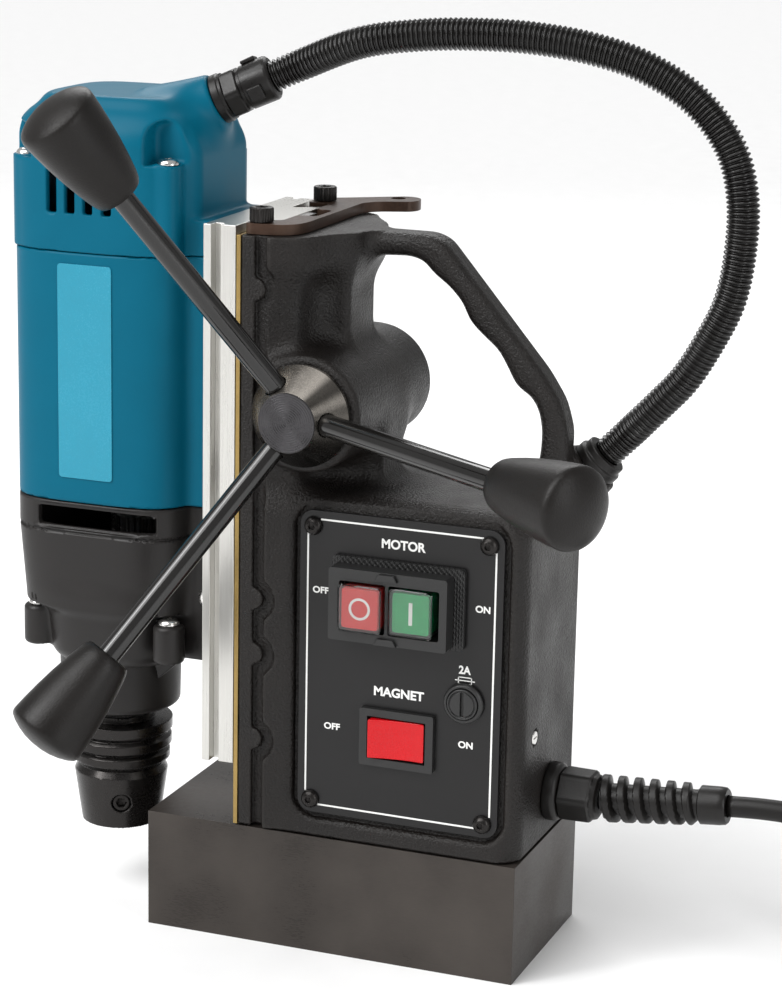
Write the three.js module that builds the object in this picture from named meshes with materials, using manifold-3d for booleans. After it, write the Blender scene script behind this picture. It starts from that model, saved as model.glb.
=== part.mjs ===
// Magnetic drill press: an electromagnet base, a cast column with a carrying handle, a motor
// that slides up and down the column on a rack and pinion, and a three-spoke feed handle.
// Millimetres, +Z up. The origin is the middle of the magnet's underside. +X points to the side
// where the mains lead leaves, and the control panel and the feed handle face -Y.
import * as THREE from 'three';
import { mergeVertices } from 'three/addons/utils/BufferGeometryUtils.js';
import Module from 'manifold-3d';

const wasm = await Module();
wasm.setup();

const TURN = Math.PI * 2;
const deg = THREE.MathUtils.degToRad;
const v2 = (x, y) => new THREE.Vector2(x, y);
const v3 = (x, y, z) => new THREE.Vector3(x, y, z);
const direct = (x, y, z) => v3(x, y, z).normalize();

// ---------------------------------------------------------------- driving dimensions
const GAP = 0.3; // space left between two pieces that touch

const MAGNET = { length: 168, width: 84, height: 52 };
const COIL_SLOT = { length: 136, width: 60, limb: 20, depth: 34, potting: 4.2 };

const COLUMN = { front: -41.5, halfWidth: 42, top: 307, bottom: MAGNET.height + 0.8 };
const BOX = { right: 84, top: 201, cornerRadius: 12, topRadius: 14, wall: 8 };
const TOP_PLATE = { bottom: COLUMN.top + GAP, thickness: 4.4, screwX: -36, screwY: 34 };

const PANEL = { x: 30.3, z: 128.7, width: 89.5, height: 132, front: -40.5, thickness: 2 };
const PANEL_SCREWS = [[-8.5, 188.2], [68.6, 188.2], [-8.5, 68.6], [68.6, 68.6]];
const SWITCH = { x0: 2.8, x1: 55.3, z0: 143, z1: 174.5, front: -51.5 };
const GASKET = { x0: 0.8, x1: 59.2, z0: 142.8, z1: 177.4, front: -43.2 };
const BUTTON = { width: 19, height: 20, z: 158.8, travel: 3 };
const OFF_BUTTON = { x: 17.6, front: -54.2 };
const ON_BUTTON = { x: 39.2, front: -52.2 };
const ROCKER = { x0: 14.2, x1: 46.9, z0: 88.2, z1: 113, tilt: 7 };
const FUSE = { x: 59.4, z: 120.3, radius: 8.7 };

const HANDLE = { y: 3, width: 17, thickness: 11 };

const FEED = { x: -12.5, z: 235.3, bossRadius: 24.5, bossFront: -44.5, shaftRadius: 8 };
const PINION = { teeth: 14, module: 2, halfWidth: 7 };
const SPOKE = { count: 3, radius: 4.7, start: 17, end: 132, lean: 29.4, firstAngle: -1.7, rootY: -47.2 };
const KNOB = { start: 124, rim: 165, smallRadius: 9.6, rimRadius: 16.3, dome: 5.5 };

const RAIL = { bottom: 79.5, top: 310.7, front: -58, rear: -44, halfWidth: 43 };
const DOVETAIL = { neck: 17, wide: 22.4, rear: -33, clearance: 0.6 };
const RACK = { front: DOVETAIL.rear + GAP, bottom: 82, top: 310.4, halfWidth: 6.8 };

const MOTOR = { x: -112.4, halfX: 41.7, halfY: 42, bottom: 186.3, seam: 294, ledge: 332, top: 358 };
const SPINDLE = { x: -117.5, noseRadius: 26.5, noseBottom: 86, holderBottom: 30.5 };
const GEARCASE = { bottom: 108, step: 137, top: 186, lowerX: -112.5, lowerHalfX: 31, lowerHalfY: 38.5 };
const EARS = { x: [-143.5, -78.5], y: [28, 33], radius: 6.8, bottom: 120, top: 138 };
const VENT_SLOTS = { x: [-130.5, -122.1, -113.8, -105.4], width: 4.4, bottom: 310, top: 328 };
const STAGE_1 = { pinion: 10, gear: 38, module: 0.8, bottom: 160, top: 169 };
const STAGE_2 = { pinion: 10, gear: 29, module: 1, bottom: 140, top: 151 };
const PRESSURE_ANGLE = THREE.MathUtils.degToRad(25);
const TOOTH_PLAY = 0.3; // how much thinner a tooth is than its space, along the pitch circle

const HOSE = { radius: 6.8, sides: 8 };
const HOSE_BASE = { point: v3(91.5, 20, 209.5), direction: direct(0.69, 0.05, 0.72), start: 2.3, end: 10 };
const HOSE_MOTOR = { point: v3(-72, 2, 355.8), direction: direct(0.89, 0.19, 0.41), start: 0, end: 26 };
const GLAND = { y: 1.4, z: 72.1, lockNut: [84.3, 90.2], body: [90.5, 107], relief: [108.2, 162.2] };
const CORD = { radius: 4.5, sides: 10, start: v3(162.5, GLAND.y, 76.6), bendRadius: 38 };
const COIL = { x: 266, y: GLAND.y + 59, radius: 50, rows: 3, innerTurn: 41 };
const PLUG = { radius: 18.5, length: 62, turned: 290 };
const TAIL_LOOP = { x: 232.7, y: 80.4, radius: 38, from: 63.6 };

// ---------------------------------------------------------------- materials
const finish = (color, roughness, metalness) => new THREE.MeshStandardMaterial({ color, roughness, metalness });
const BLUED_STEEL = () => finish(0x3a3532, 0.5, 0.8);
const CAST_PAINT = () => finish(0x232120, 0.65, 0.1);
const BLACK_PLASTIC = () => finish(0x1c1b1b, 0.5, 0);
const TEAL_PLASTIC = () => finish(0x00607c, 0.4, 0);
const ALUMINIUM = () => finish(0xc9c8c4, 0.3, 0.9);
const BRASS = () => finish(0xb08d45, 0.35, 0.9);
const DARK_STEEL = () => finish(0x2a2826, 0.35, 0.85);
const TURNED_STEEL = () => finish(0x6a6866, 0.3, 0.9);
const COPPER = () => finish(0xa55d35, 0.4, 0.9);
const RUBBER = () => finish(0x161616, 0.7, 0);

// ---------------------------------------------------------------- geometry helpers
function toManifold(geometry) {
  const bare = geometry.clone();
  bare.deleteAttribute('normal');
  bare.deleteAttribute('uv');
  const merged = mergeVertices(bare, 1e-4);
  return new wasm.Manifold(new wasm.Mesh({
    numProp: 3,
    vertProperties: new Float32Array(merged.attributes.position.array),
    triVerts: new Uint32Array(merged.index.array),
  }));
}

function toGeometry(manifold) {
  const mesh = manifold.getMesh();
  const geometry = new THREE.BufferGeometry();
  geometry.setAttribute('position', new THREE.BufferAttribute(new Float32Array(mesh.vertProperties), 3));
  geometry.setIndex(new THREE.BufferAttribute(new Uint32Array(mesh.triVerts), 1));
  geometry.computeVertexNormals();
  return geometry;
}

// One solid: the first list joined together, with the second list cut away.
function solid(add, cut = []) {
  let body = add.map(toManifold).reduce((whole, piece) => whole.add(piece));
  for (const tool of cut) body = body.subtract(toManifold(tool));
  return toGeometry(body);
}

function common(a, b) {
  return toGeometry(toManifold(a).intersect(toManifold(b)));
}

function block(x0, x1, y0, y1, z0, z1) {
  const box = new THREE.BoxGeometry(x1 - x0, y1 - y0, z1 - z0);
  return box.translate((x0 + x1) / 2, (y0 + y1) / 2, (z0 + z1) / 2);
}

// A plan outline (x, y) raised from z0 to z1.
function upright(shape, z0, z1, curveSegments = 4) {
  const geometry = new THREE.ExtrudeGeometry(shape, { depth: z1 - z0, bevelEnabled: false, curveSegments });
  return geometry.translate(0, 0, z0);
}

// A side outline (x, z) drawn through from y0 to y1.
function across(shape, y0, y1, curveSegments = 4) {
  const geometry = new THREE.ExtrudeGeometry(shape, { depth: y1 - y0, bevelEnabled: false, curveSegments });
  return geometry.rotateX(Math.PI / 2).translate(0, y1, 0);
}

// A solid of revolution about Z. Each profile point is [radius, z].
function turned(profile, segments = 20) {
  return new THREE.LatheGeometry(profile.map(([r, z]) => v2(r, z)), segments).rotateX(Math.PI / 2);
}

const rod = (radius, z0, z1, segments = 20) => turned([[0, z0], [radius, z0], [radius, z1], [0, z1]], segments);

// Stands a shape that was made along +Z on the point `from`, pointing along `direction`.
function aim(geometry, from, direction) {
  const spin = new THREE.Quaternion().setFromUnitVectors(v3(0, 0, 1), direction.clone().normalize());
  return geometry.applyQuaternion(spin).translate(from.x, from.y, from.z);
}

// The same outline on the other side of y = 0, in the order that closes a loop with it.
const mirrored = (half) => [...half].reverse().map(([x, y]) => [x, -y]);

// A rod along Y from y0 to y1 about the line (x, z).
function rodY(radius, x, z, y0, y1, segments = 20) {
  return aim(rod(radius, 0, y1 - y0, segments), v3(x, y0, z), v3(0, 1, 0));
}

function polygon(points) {
  return new THREE.Shape(points.map(([x, y]) => v2(x, y)));
}

function roundedRectangle(x0, x1, y0, y1, radius) {
  const shape = new THREE.Shape();
  shape.moveTo(x0 + radius, y0);
  shape.lineTo(x1 - radius, y0);
  shape.absarc(x1 - radius, y0 + radius, radius, -Math.PI / 2, 0);
  shape.lineTo(x1, y1 - radius);
  shape.absarc(x1 - radius, y1 - radius, radius, 0, Math.PI / 2);
  shape.lineTo(x0 + radius, y1);
  shape.absarc(x0 + radius, y1 - radius, radius, Math.PI / 2, Math.PI);
  shape.lineTo(x0, y0 + radius);
  shape.absarc(x0 + radius, y0 + radius, radius, Math.PI, Math.PI * 1.5);
  return shape;
}

// The soft-cornered square outline that the motor and the gear case share.
function softSquare(centreX, halfX, halfY, power = 4, points = 24) {
  const outline = [];
  for (let i = 0; i < points; i++) {
    const angle = (i / points) * TURN;
    const c = Math.cos(angle);
    const s = Math.sin(angle);
    outline.push([
      centreX + halfX * Math.sign(c) * Math.abs(c) ** (2 / power),
      halfY * Math.sign(s) * Math.abs(s) ** (2 / power),
    ]);
  }
  return polygon(outline);
}

// A tube of round section along a curve through the points.
function tube(points, radius, sides, steps) {
  const section = new THREE.Shape();
  for (let i = 0; i < sides; i++) {
    const angle = (i / sides) * TURN;
    if (i === 0) section.moveTo(radius, 0);
    else section.lineTo(radius * Math.cos(angle), radius * Math.sin(angle));
  }
  const extrudePath = new THREE.CatmullRomCurve3(points, false, 'centripetal');
  return new THREE.ExtrudeGeometry(section, { steps, extrudePath, bevelEnabled: false });
}

// A spur gear outline with involute flanks and short teeth.
function gearShape(teeth, module, phase = 0) {
  const pitch = (teeth * module) / 2;
  const base = pitch * Math.cos(PRESSURE_ANGLE);
  const tip = pitch + 0.8 * module;
  const root = pitch - 1.05 * module;
  const involute = (r) => (r <= base ? 0 : Math.sqrt((r / base) ** 2 - 1) - Math.acos(base / r));
  const halfTooth = (Math.PI * module / 2 - TOOTH_PLAY / 2) / (2 * pitch);
  const halfAt = (r) => halfTooth + involute(pitch) - involute(Math.max(r, base));
  const radii = base > root ? [root, base, tip] : [root, tip];
  const outline = [];
  for (let i = 0; i < teeth; i++) {
    const middle = phase + (i / teeth) * TURN;
    for (const r of radii) outline.push([r * Math.cos(middle - halfAt(r)), r * Math.sin(middle - halfAt(r))]);
    for (const r of [...radii].reverse()) {
      outline.push([r * Math.cos(middle + halfAt(r)), r * Math.sin(middle + halfAt(r))]);
    }
  }
  return polygon(outline);
}

function named(name, geometry, material) {
  const mesh = new THREE.Mesh(geometry, material);
  mesh.name = name;
  return mesh;
}

function group(...meshes) {
  const holder = new THREE.Group();
  holder.add(...meshes.flat());
  return holder;
}

// ---------------------------------------------------------------- magnet
function ringPrism(outer, inner, z0, z1) {
  return solid([upright(outer, z0, z1, 2)], [upright(inner, z0 - 1, z1 + 1, 2)]);
}

function slotOutlines(shrink) {
  const { length, width, limb } = COIL_SLOT;
  const halfX = length / 2 - shrink;
  const halfY = width / 2 - shrink;
  const coreX = length / 2 - limb + shrink;
  const coreY = width / 2 - limb + shrink;
  return [
    roundedRectangle(-halfX, halfX, -halfY, halfY, 10 - shrink),
    roundedRectangle(-coreX, coreX, -coreY, coreY, 3 + shrink),
  ];
}

function magnetPieces() {
  const { length, width, height } = MAGNET;
  const { depth, potting } = COIL_SLOT;
  const body = block(-length / 2, length / 2, -width / 2, width / 2, 0, height);
  const slot = ringPrism(...slotOutlines(0), -1, depth);
  return [
    named('magnet_block', solid([body], [slot]), BLUED_STEEL()),
    named('magnet_coil', ringPrism(...slotOutlines(1), potting + 0.4, depth - 0.6), COPPER()),
    named('magnet_potting', ringPrism(...slotOutlines(GAP), 0, potting), RUBBER()),
  ];
}

// ---------------------------------------------------------------- cast column and base
function boxBody() {
  const { front, halfWidth, bottom } = COLUMN;
  const { right, top, cornerRadius, topRadius } = BOX;
  const plan = new THREE.Shape();
  plan.moveTo(front, -halfWidth);
  plan.lineTo(right - cornerRadius, -halfWidth);
  plan.absarc(right - cornerRadius, -halfWidth + cornerRadius, cornerRadius, -Math.PI / 2, 0);
  plan.absarc(right - cornerRadius, halfWidth - cornerRadius, cornerRadius, 0, Math.PI / 2);
  plan.lineTo(front, halfWidth);
  const side = new THREE.Shape();
  side.moveTo(front - 1, bottom);
  side.lineTo(right + 1, bottom);
  side.lineTo(right + 1, top - topRadius);
  side.lineTo(right, top - topRadius);
  side.absarc(right - topRadius, top - topRadius, topRadius, 0, Math.PI / 2);
  side.lineTo(front - 1, top);
  return common(upright(plan, bottom - 1, top + 1), across(side, -halfWidth - 1, halfWidth + 1));
}

function columnBody() {
  const plan = polygon([
    [COLUMN.front, -42], [-18.5, -34.5], [-6, -14], [0, -6], [0, 12], [-6, 18], [-15, 36], [COLUMN.front, 42],
  ]);
  const flare = polygon([[-20, 196], [16, 196], [11, 206], [10, 224], [-20, 240]]);
  return [upright(plan, BOX.top - 10, COLUMN.top), across(flare, -15, 18)];
}

// The carrying handle: an outline (x, z) with finger grips on its inner edge.
function handleBody() {
  const outer = [
    [-4, 306.6], [26, 306.6], [32.5, 304], [77, 252.5], [84.5, 241], [88, 229], [87.5, 217], [85, 190],
  ];
  const inner = [
    [70, 190], [76.2, 219], [76.6, 229.5], [75, 237], [71.8, 242.5], [65, 246.5], [61, 254], [56.8, 261],
    [50.2, 266.2], [43.8, 272], [40.6, 279.5], [34.3, 286], [28, 290.2], [23, 295.5], [17, 297], [-4, 296],
  ];
  const { y, width } = HANDLE;
  return across(polygon([...outer, ...inner]), y - width / 2, y + width / 2);
}

function hoseBossBody() {
  return aim(rod(12, -22, 2, 16), HOSE_BASE.point, HOSE_BASE.direction);
}

function slideChannel() {
  const { front, bottom, top } = COLUMN;
  const { neck, wide, rear, clearance } = DOVETAIL;
  const tailNeck = neck + clearance;
  const tailWide = wide + clearance + 0.4;
  const tailRear = rear + clearance;
  const toothRoom = -23.4;
  const rackHalf = RACK.halfWidth + 1.2;
  const half = [
    [toothRoom, rackHalf], [tailRear, rackHalf], [tailRear, tailWide], [front, tailNeck], [front - 1, tailNeck],
  ];
  return upright(polygon([...mirrored(half), ...half]), bottom - 1, top + 1);
}

function columnCasting() {
  const { x, z, bossRadius, bossFront } = FEED;
  const { halfWidth } = COLUMN;
  const reach = PANEL.width / 2 + 1;
  const rise = PANEL.height / 2 + 1;
  const recessShape = roundedRectangle(PANEL.x - reach, PANEL.x + reach, PANEL.z - rise, PANEL.z + rise, 7);
  const recess = across(recessShape, -60, PANEL.front + PANEL.thickness + GAP);
  const window = block(-8, 68.5, -40, -30, 74, 183.5);
  const cavity = block(-12, BOX.right - BOX.wall, -34, 35, 62, BOX.top - BOX.wall);
  const pinionRoom = rodY(17.2, x, z, -9.5, 9.5);
  const shaftBore = rodY(11.3, x, z, bossFront - 1, halfWidth + 1);
  const glandHole = aim(rod(8.3, 0, 20, 16), v3(BOX.right - 14, GLAND.y, GLAND.z), v3(1, 0, 0));
  const hoseHole = aim(rod(6, -40, 4, 12), HOSE_BASE.point, HOSE_BASE.direction);
  const feedBoss = rodY(bossRadius, x, z, bossFront, halfWidth, 24);
  const bores = [shaftBore, glandHole, hoseHole, ...topPlateScrewHoles()];
  return solid(
    [boxBody(), ...columnBody(), handleBody(), feedBoss, hoseBossBody()],
    [slideChannel(), recess, window, cavity, pinionRoom, ...bores],
  );
}

function gibStrip(side) {
  const inner = DOVETAIL.neck + DOVETAIL.clearance + 1;
  const y = [side * inner, side * COLUMN.halfWidth].sort((a, b) => a - b);
  return block(COLUMN.front - GAP - 1.9, COLUMN.front - GAP, y[0], y[1], MAGNET.height + 0.5, COLUMN.top);
}

// ---------------------------------------------------------------- top plate
function topPlateScrewHoles() {
  const { screwX, screwY } = TOP_PLATE;
  const hole = rod(3.4, COLUMN.top - 16, COLUMN.top + 12, 12);
  return [-1, 1].map((side) => hole.clone().translate(screwX, side * screwY, 0));
}

function topPlate() {
  const outline = polygon([
    [-41.3, -40], [-26, -38], [-20.5, -33], [-19, -25], [-19, 36], [-14, 42.5], [-2, 48], [0, 52], [-0.5, 58],
    [-4, 62], [-9, 62.5], [-20, 55], [-32, 46], [-41.3, 41], [-41.3, 26.5], [-30.5, 26.5], [-30.5, 9.5],
    [-22, 9.5], [-22, -9.5], [-30.5, -9.5], [-30.5, -26.5], [-41.3, -26.5],
  ]);
  const { bottom, thickness } = TOP_PLATE;
  const hole = rod(3.2, bottom - 1, bottom + thickness + 1, 16).translate(-10.5, 55.5, 0);
  return solid([upright(outline, bottom, bottom + thickness)], [hole, ...topPlateScrewHoles()]);
}

function capScrew(shankRadius, headRadius, headHeight, shankLength, socket = 2.5) {
  const body = turned([
    [0, -shankLength], [shankRadius, -shankLength], [shankRadius, 0], [headRadius, 0],
    [headRadius, headHeight], [0, headHeight],
  ], 12);
  return solid([body], [rod(socket, headHeight * 0.45, headHeight + 1, 6)]);
}

function topPlateScrews() {
  const { bottom, thickness, screwX, screwY } = TOP_PLATE;
  return [-1, 1].map((side, i) => named(
    `top_plate_screw_${i + 1}`,
    capScrew(3, 5, 6, 18).translate(screwX, side * screwY, bottom + thickness + GAP),
    DARK_STEEL(),
  ));
}

// ---------------------------------------------------------------- control panel
function controlPlate() {
  const { x, z, width, height, front, thickness } = PANEL;
  const outline = roundedRectangle(x - width / 2, x + width / 2, z - height / 2, z + height / 2, 6);
  const holes = [
    block(SWITCH.x0 + 2, SWITCH.x1 - 2, -50, -30, SWITCH.z0 + 2, SWITCH.z1 - 2),
    block(ROCKER.x0 + 1.5, ROCKER.x1 - 1.5, -50, -30, ROCKER.z0 + 1.5, ROCKER.z1 - 1.5),
    rodY(6.6, FUSE.x, FUSE.z, -50, -30, 16),
    ...PANEL_SCREWS.map(([sx, sz]) => rodY(2.3, sx, sz, -50, -30, 10)),
  ];
  return solid([across(outline, front, front + thickness)], holes);
}

function panelScrews() {
  return PANEL_SCREWS.map(([x, z], i) => {
    const screw = capScrew(2, 4, 2.6, 2.0, 1.5);
    const placed = aim(screw, v3(x, PANEL.front - GAP, z), v3(0, -1, 0));
    return named(`panel_screw_${i + 1}`, placed, DARK_STEEL());
  });
}

const BUTTON_STEM = -37; // where a button's stem ends, before it is pressed

function buttonWell(x) {
  const half = BUTTON.width / 2 + 0.6;
  const tall = BUTTON.height / 2 + 0.6;
  const back = BUTTON_STEM + BUTTON.travel + 1;
  return block(x - half, x + half, SWITCH.front - 1, back, BUTTON.z - tall, BUTTON.z + tall);
}

function motorSwitch() {
  const { x0, x1, z0, z1, front } = SWITCH;
  const bezel = block(x0, x1, front, PANEL.front - GAP, z0, z1);
  const gasket = block(GASKET.x0, GASKET.x1, GASKET.front, PANEL.front - GAP, GASKET.z0, GASKET.z1);
  const body = block(x0 + 2.5, x1 - 2.5, PANEL.front - 1, -12, z0 + 2.5, z1 - 2.5);
  return solid([bezel, gasket, body], [buttonWell(OFF_BUTTON.x), buttonWell(ON_BUTTON.x)]);
}

function pushButton({ x, front }) {
  const { width, height, z } = BUTTON;
  const face = roundedRectangle(x - width / 2, x + width / 2, z - height / 2, z + height / 2, 2);
  return solid([across(face, front, -40, 2), block(x - 4, x + 4, -41, BUTTON_STEM, z - 4, z + 4)]);
}

function rockerFrame() {
  const { x0, x1, z0, z1 } = ROCKER;
  const bezel = block(x0, x1, -42.2, PANEL.front - GAP, z0, z1);
  const body = block(x0 + 2, x1 - 2, PANEL.front - 1, -14, z0 + 2, z1 - 2);
  return solid([bezel, body], [block(x0 + 3.2, x1 - 3.2, -60, -30, z0 + 3.2, z1 - 3.2)]);
}

function rockerPaddle() {
  const { x0, x1, z0, z1, tilt } = ROCKER;
  const middle = (x0 + x1) / 2;
  const half = (x1 - x0) / 2 - 4.2;
  const outline = polygon([[-half, -2.2], [0, -1.2], [half, -2.2], [half - 1.5, 5], [0, 7], [-half + 1.5, 5]]);
  const paddle = upright(outline, z0 + 4, z1 - 4);
  return paddle.rotateZ(deg(tilt)).translate(middle, -42, 0);
}

function fuseHolder() {
  const profile = [[7, 0], [8.7, 0.6], [8.7, 2.4], [6.2, 2.4], [6.2, 26], [5, 26], [5, 2], [7, 2], [7, 0]];
  return aim(turned(profile, 20), v3(FUSE.x, -43.2, FUSE.z), v3(0, 1, 0));
}

function fuseCap() {
  const cap = solid([rod(6.6, 0, 2.3, 16), rod(4.2, 2, 12, 12)], [block(-8, 8, -0.7, 0.7, -1, 1.4)]);
  return aim(cap, v3(FUSE.x, -43.8, FUSE.z), v3(0, 1, 0));
}

function controlBoard() {
  const board = block(0, 62, 18, 19.6, 66, 150);
  const rectifier = block(10, 38, 14, 18.5, 110, 138);
  const relay = block(8, 30, 2, 18.5, 76, 100);
  const posts = [6, 56].map((x) => block(x - 4, x + 4, 15, 23, 62 + GAP, 67));
  return solid([board, rectifier, relay, ...posts]);
}

// ---------------------------------------------------------------- feed shaft and handle
const feedPoint = (y) => v3(FEED.x, y, FEED.z);
const ALONG_Y = v3(0, 1, 0);

function feedShaft() {
  const { teeth, module, halfWidth } = PINION;
  const core = rod(FEED.shaftRadius, 0, 94);
  const pinion = upright(gearShape(teeth, module, Math.PI), 53.5 - halfWidth, 53.5 + halfWidth);
  return aim(solid([core, pinion]), feedPoint(-53.5), ALONG_Y);
}

function feedBush(y0, y1) {
  const inner = FEED.shaftRadius + 0.3;
  const profile = [[inner, 0], [11, 0], [11, y1 - y0], [inner, y1 - y0], [inner, 0]];
  return aim(turned(profile, 20), feedPoint(y0), ALONG_Y);
}

function feedHub() {
  const bore = FEED.shaftRadius + 0.4;
  const profile = [
    [bore, 0], [20.8, 0], [21.5, 0.8], [21.5, 2.5], [12.9, 16.5], [12.3, 17.1], [0, 17.1],
    [0, 9.4], [bore, 9.4], [bore, 0],
  ];
  const hub = aim(turned(profile, 24), feedPoint(-44.9), v3(0, -1, 0));
  const sockets = spokeDirections().map((d) => spokeRod(d, SPOKE.radius + 0.3, SPOKE.start - 3, 40));
  return solid([hub], sockets);
}

function spokeDirections() {
  const lean = deg(SPOKE.lean);
  return Array.from({ length: SPOKE.count }, (_, i) => {
    const angle = deg(SPOKE.firstAngle) + (i / SPOKE.count) * TURN;
    return v3(Math.cos(angle) * Math.cos(lean), -Math.sin(lean), Math.sin(angle) * Math.cos(lean));
  });
}

function spokeRod(direction, radius, start, end) {
  return aim(rod(radius, start, end, 12), feedPoint(SPOKE.rootY), direction);
}

function knob(direction) {
  const { start, rim, smallRadius, rimRadius, dome } = KNOB;
  const bore = SPOKE.radius + 0.3;
  const blind = SPOKE.end + 1;
  const profile = [
    [bore, start], [smallRadius - 1.5, start], [smallRadius, start + 1.5], [smallRadius + 4, start + 16],
    [rimRadius - 0.3, rim - 4], [rimRadius, rim], [rimRadius * 0.7, rim + dome * 0.62], [0, rim + dome],
    [0, blind], [bore, blind], [bore, start],
  ];
  return aim(turned(profile, 16), feedPoint(SPOKE.rootY), direction);
}

function feedHandle() {
  return spokeDirections().flatMap((direction, i) => [
    named(`feed_spoke_${i + 1}`, spokeRod(direction, SPOKE.radius, SPOKE.start, SPOKE.end), DARK_STEEL()),
    named(`feed_knob_${i + 1}`, knob(direction), BLACK_PLASTIC()),
  ]);
}

// ---------------------------------------------------------------- slide
function slideRail() {
  const { front, rear, halfWidth, bottom, top } = RAIL;
  const { neck, wide, rear: tail } = DOVETAIL;
  const half = [
    [front, halfWidth], [front + 3.4, halfWidth], [front + 3.4, halfWidth - 5], [front + 7.2, halfWidth - 5],
    [front + 7.2, halfWidth - 1], [rear, halfWidth - 1], [rear, neck], [COLUMN.front, neck], [tail, wide],
  ];
  return upright(polygon([...half, ...mirrored(half)]), bottom, top);
}

function feedRack() {
  const { front, bottom, top, halfWidth } = RACK;
  const { teeth, module } = PINION;
  const pitchX = FEED.x - (teeth * module) / 2;
  const tip = pitchX + 0.8 * module;
  const root = pitchX - 1.05 * module;
  const pitch = Math.PI * module;
  const slope = Math.tan(PRESSURE_ANGLE);
  const halfAt = (x) => pitch / 4 - TOOTH_PLAY / 4 - (x - pitchX) * slope;
  const outline = [[front, bottom]];
  const first = Math.ceil((bottom - FEED.z) / pitch - 0.5) + 1;
  const last = Math.floor((top - FEED.z) / pitch - 0.5) - 1;
  for (let i = first; i <= last; i++) {
    const z = FEED.z + (i + 0.5) * pitch;
    if (i === first) outline.push([root, bottom]);
    outline.push([root, z - halfAt(root)], [tip, z - halfAt(tip)]);
    outline.push([tip, z + halfAt(tip)], [root, z + halfAt(root)]);
  }
  outline.push([root, top], [front, top]);
  return across(polygon(outline), -halfWidth, halfWidth);
}

// ---------------------------------------------------------------- gear case
const LAYSHAFT = layshaftPlace();

// The layshaft stands where both gear pairs have their right centre distances.
function layshaftPlace() {
  const first = (STAGE_1.module * (STAGE_1.pinion + STAGE_1.gear)) / 2;
  const second = (STAGE_2.module * (STAGE_2.pinion + STAGE_2.gear)) / 2;
  const apart = MOTOR.x - SPINDLE.x;
  const along = (second ** 2 - first ** 2 + apart ** 2) / (2 * apart);
  return { x: SPINDLE.x + along, y: Math.sqrt(second ** 2 - along ** 2) };
}

function gearHousing() {
  const { bottom, step, top, lowerX, lowerHalfX, lowerHalfY } = GEARCASE;
  const outside = [
    upright(softSquare(MOTOR.x, MOTOR.halfX, MOTOR.halfY), step, top),
    upright(softSquare(lowerX, lowerHalfX, lowerHalfY, 3), bottom, step + 1),
    rod(SPINDLE.noseRadius, SPINDLE.noseBottom, bottom + 1, 32).translate(SPINDLE.x, 0, 0),
    block(-80, RAIL.front - GAP, -24, 24, 117, top),
    ...gearcaseEars(),
  ];
  const motorRoom = upright(softSquare(MOTOR.x, MOTOR.halfX - 3.4, MOTOR.halfY - 3.4), 139, top + 1);
  const spindleBore = rod(17.3, SPINDLE.noseBottom - 1, 124, 24).translate(SPINDLE.x, 0, 0);
  const throat = rod(10, 120, 142, 20).translate(SPINDLE.x, 0, 0);
  const vents = [[-60, -30], [30, 60]].map(([y0, y1]) => block(-138, -84, y0, y1, 174.5, 182.5));
  return solid(outside, [motorRoom, spindleBore, throat, ...vents]);
}

function gearcaseEars() {
  const { radius, bottom, top } = EARS;
  return EARS.x.flatMap((x, i) => [-EARS.y[i], EARS.y[i]].map((y) => rod(radius, bottom, top, 16).translate(x, y, 0)));
}

function layshaft() {
  const { x, y } = LAYSHAFT;
  const bigShape = gearShape(STAGE_1.gear, STAGE_1.module, layshaftPhase(MOTOR.x, STAGE_1.gear));
  const smallShape = gearShape(STAGE_2.pinion, STAGE_2.module, layshaftPhase(SPINDLE.x, STAGE_2.pinion));
  const big = upright(bigShape, STAGE_1.bottom, STAGE_1.top);
  const small = upright(smallShape, STAGE_2.bottom, STAGE_2.top + 1);
  return solid([big, small, rod(3.4, 139.4, 176, 16)]).translate(x, y, 0);
}

// Turns a layshaft gear so that a space, not a tooth, faces the mate at (mateX, 0).
function layshaftPhase(mateX, teeth) {
  const towardsMate = Math.atan2(-LAYSHAFT.y, mateX - LAYSHAFT.x);
  return towardsMate + Math.PI / teeth;
}

function towardsLayshaft(fromX) {
  return Math.atan2(LAYSHAFT.y, LAYSHAFT.x - fromX);
}

// ---------------------------------------------------------------- motor
function motorHousing() {
  const outer = softSquare(MOTOR.x, MOTOR.halfX, MOTOR.halfY);
  const inner = softSquare(MOTOR.x, MOTOR.halfX - 3, MOTOR.halfY - 3);
  const { bottom, seam } = MOTOR;
  const pad = block(-78, RAIL.front - GAP, -27, 27, bottom, seam - GAP);
  return solid([upright(outer, bottom, seam - GAP), pad], [upright(inner, bottom - 1, seam + 1)]);
}

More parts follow.
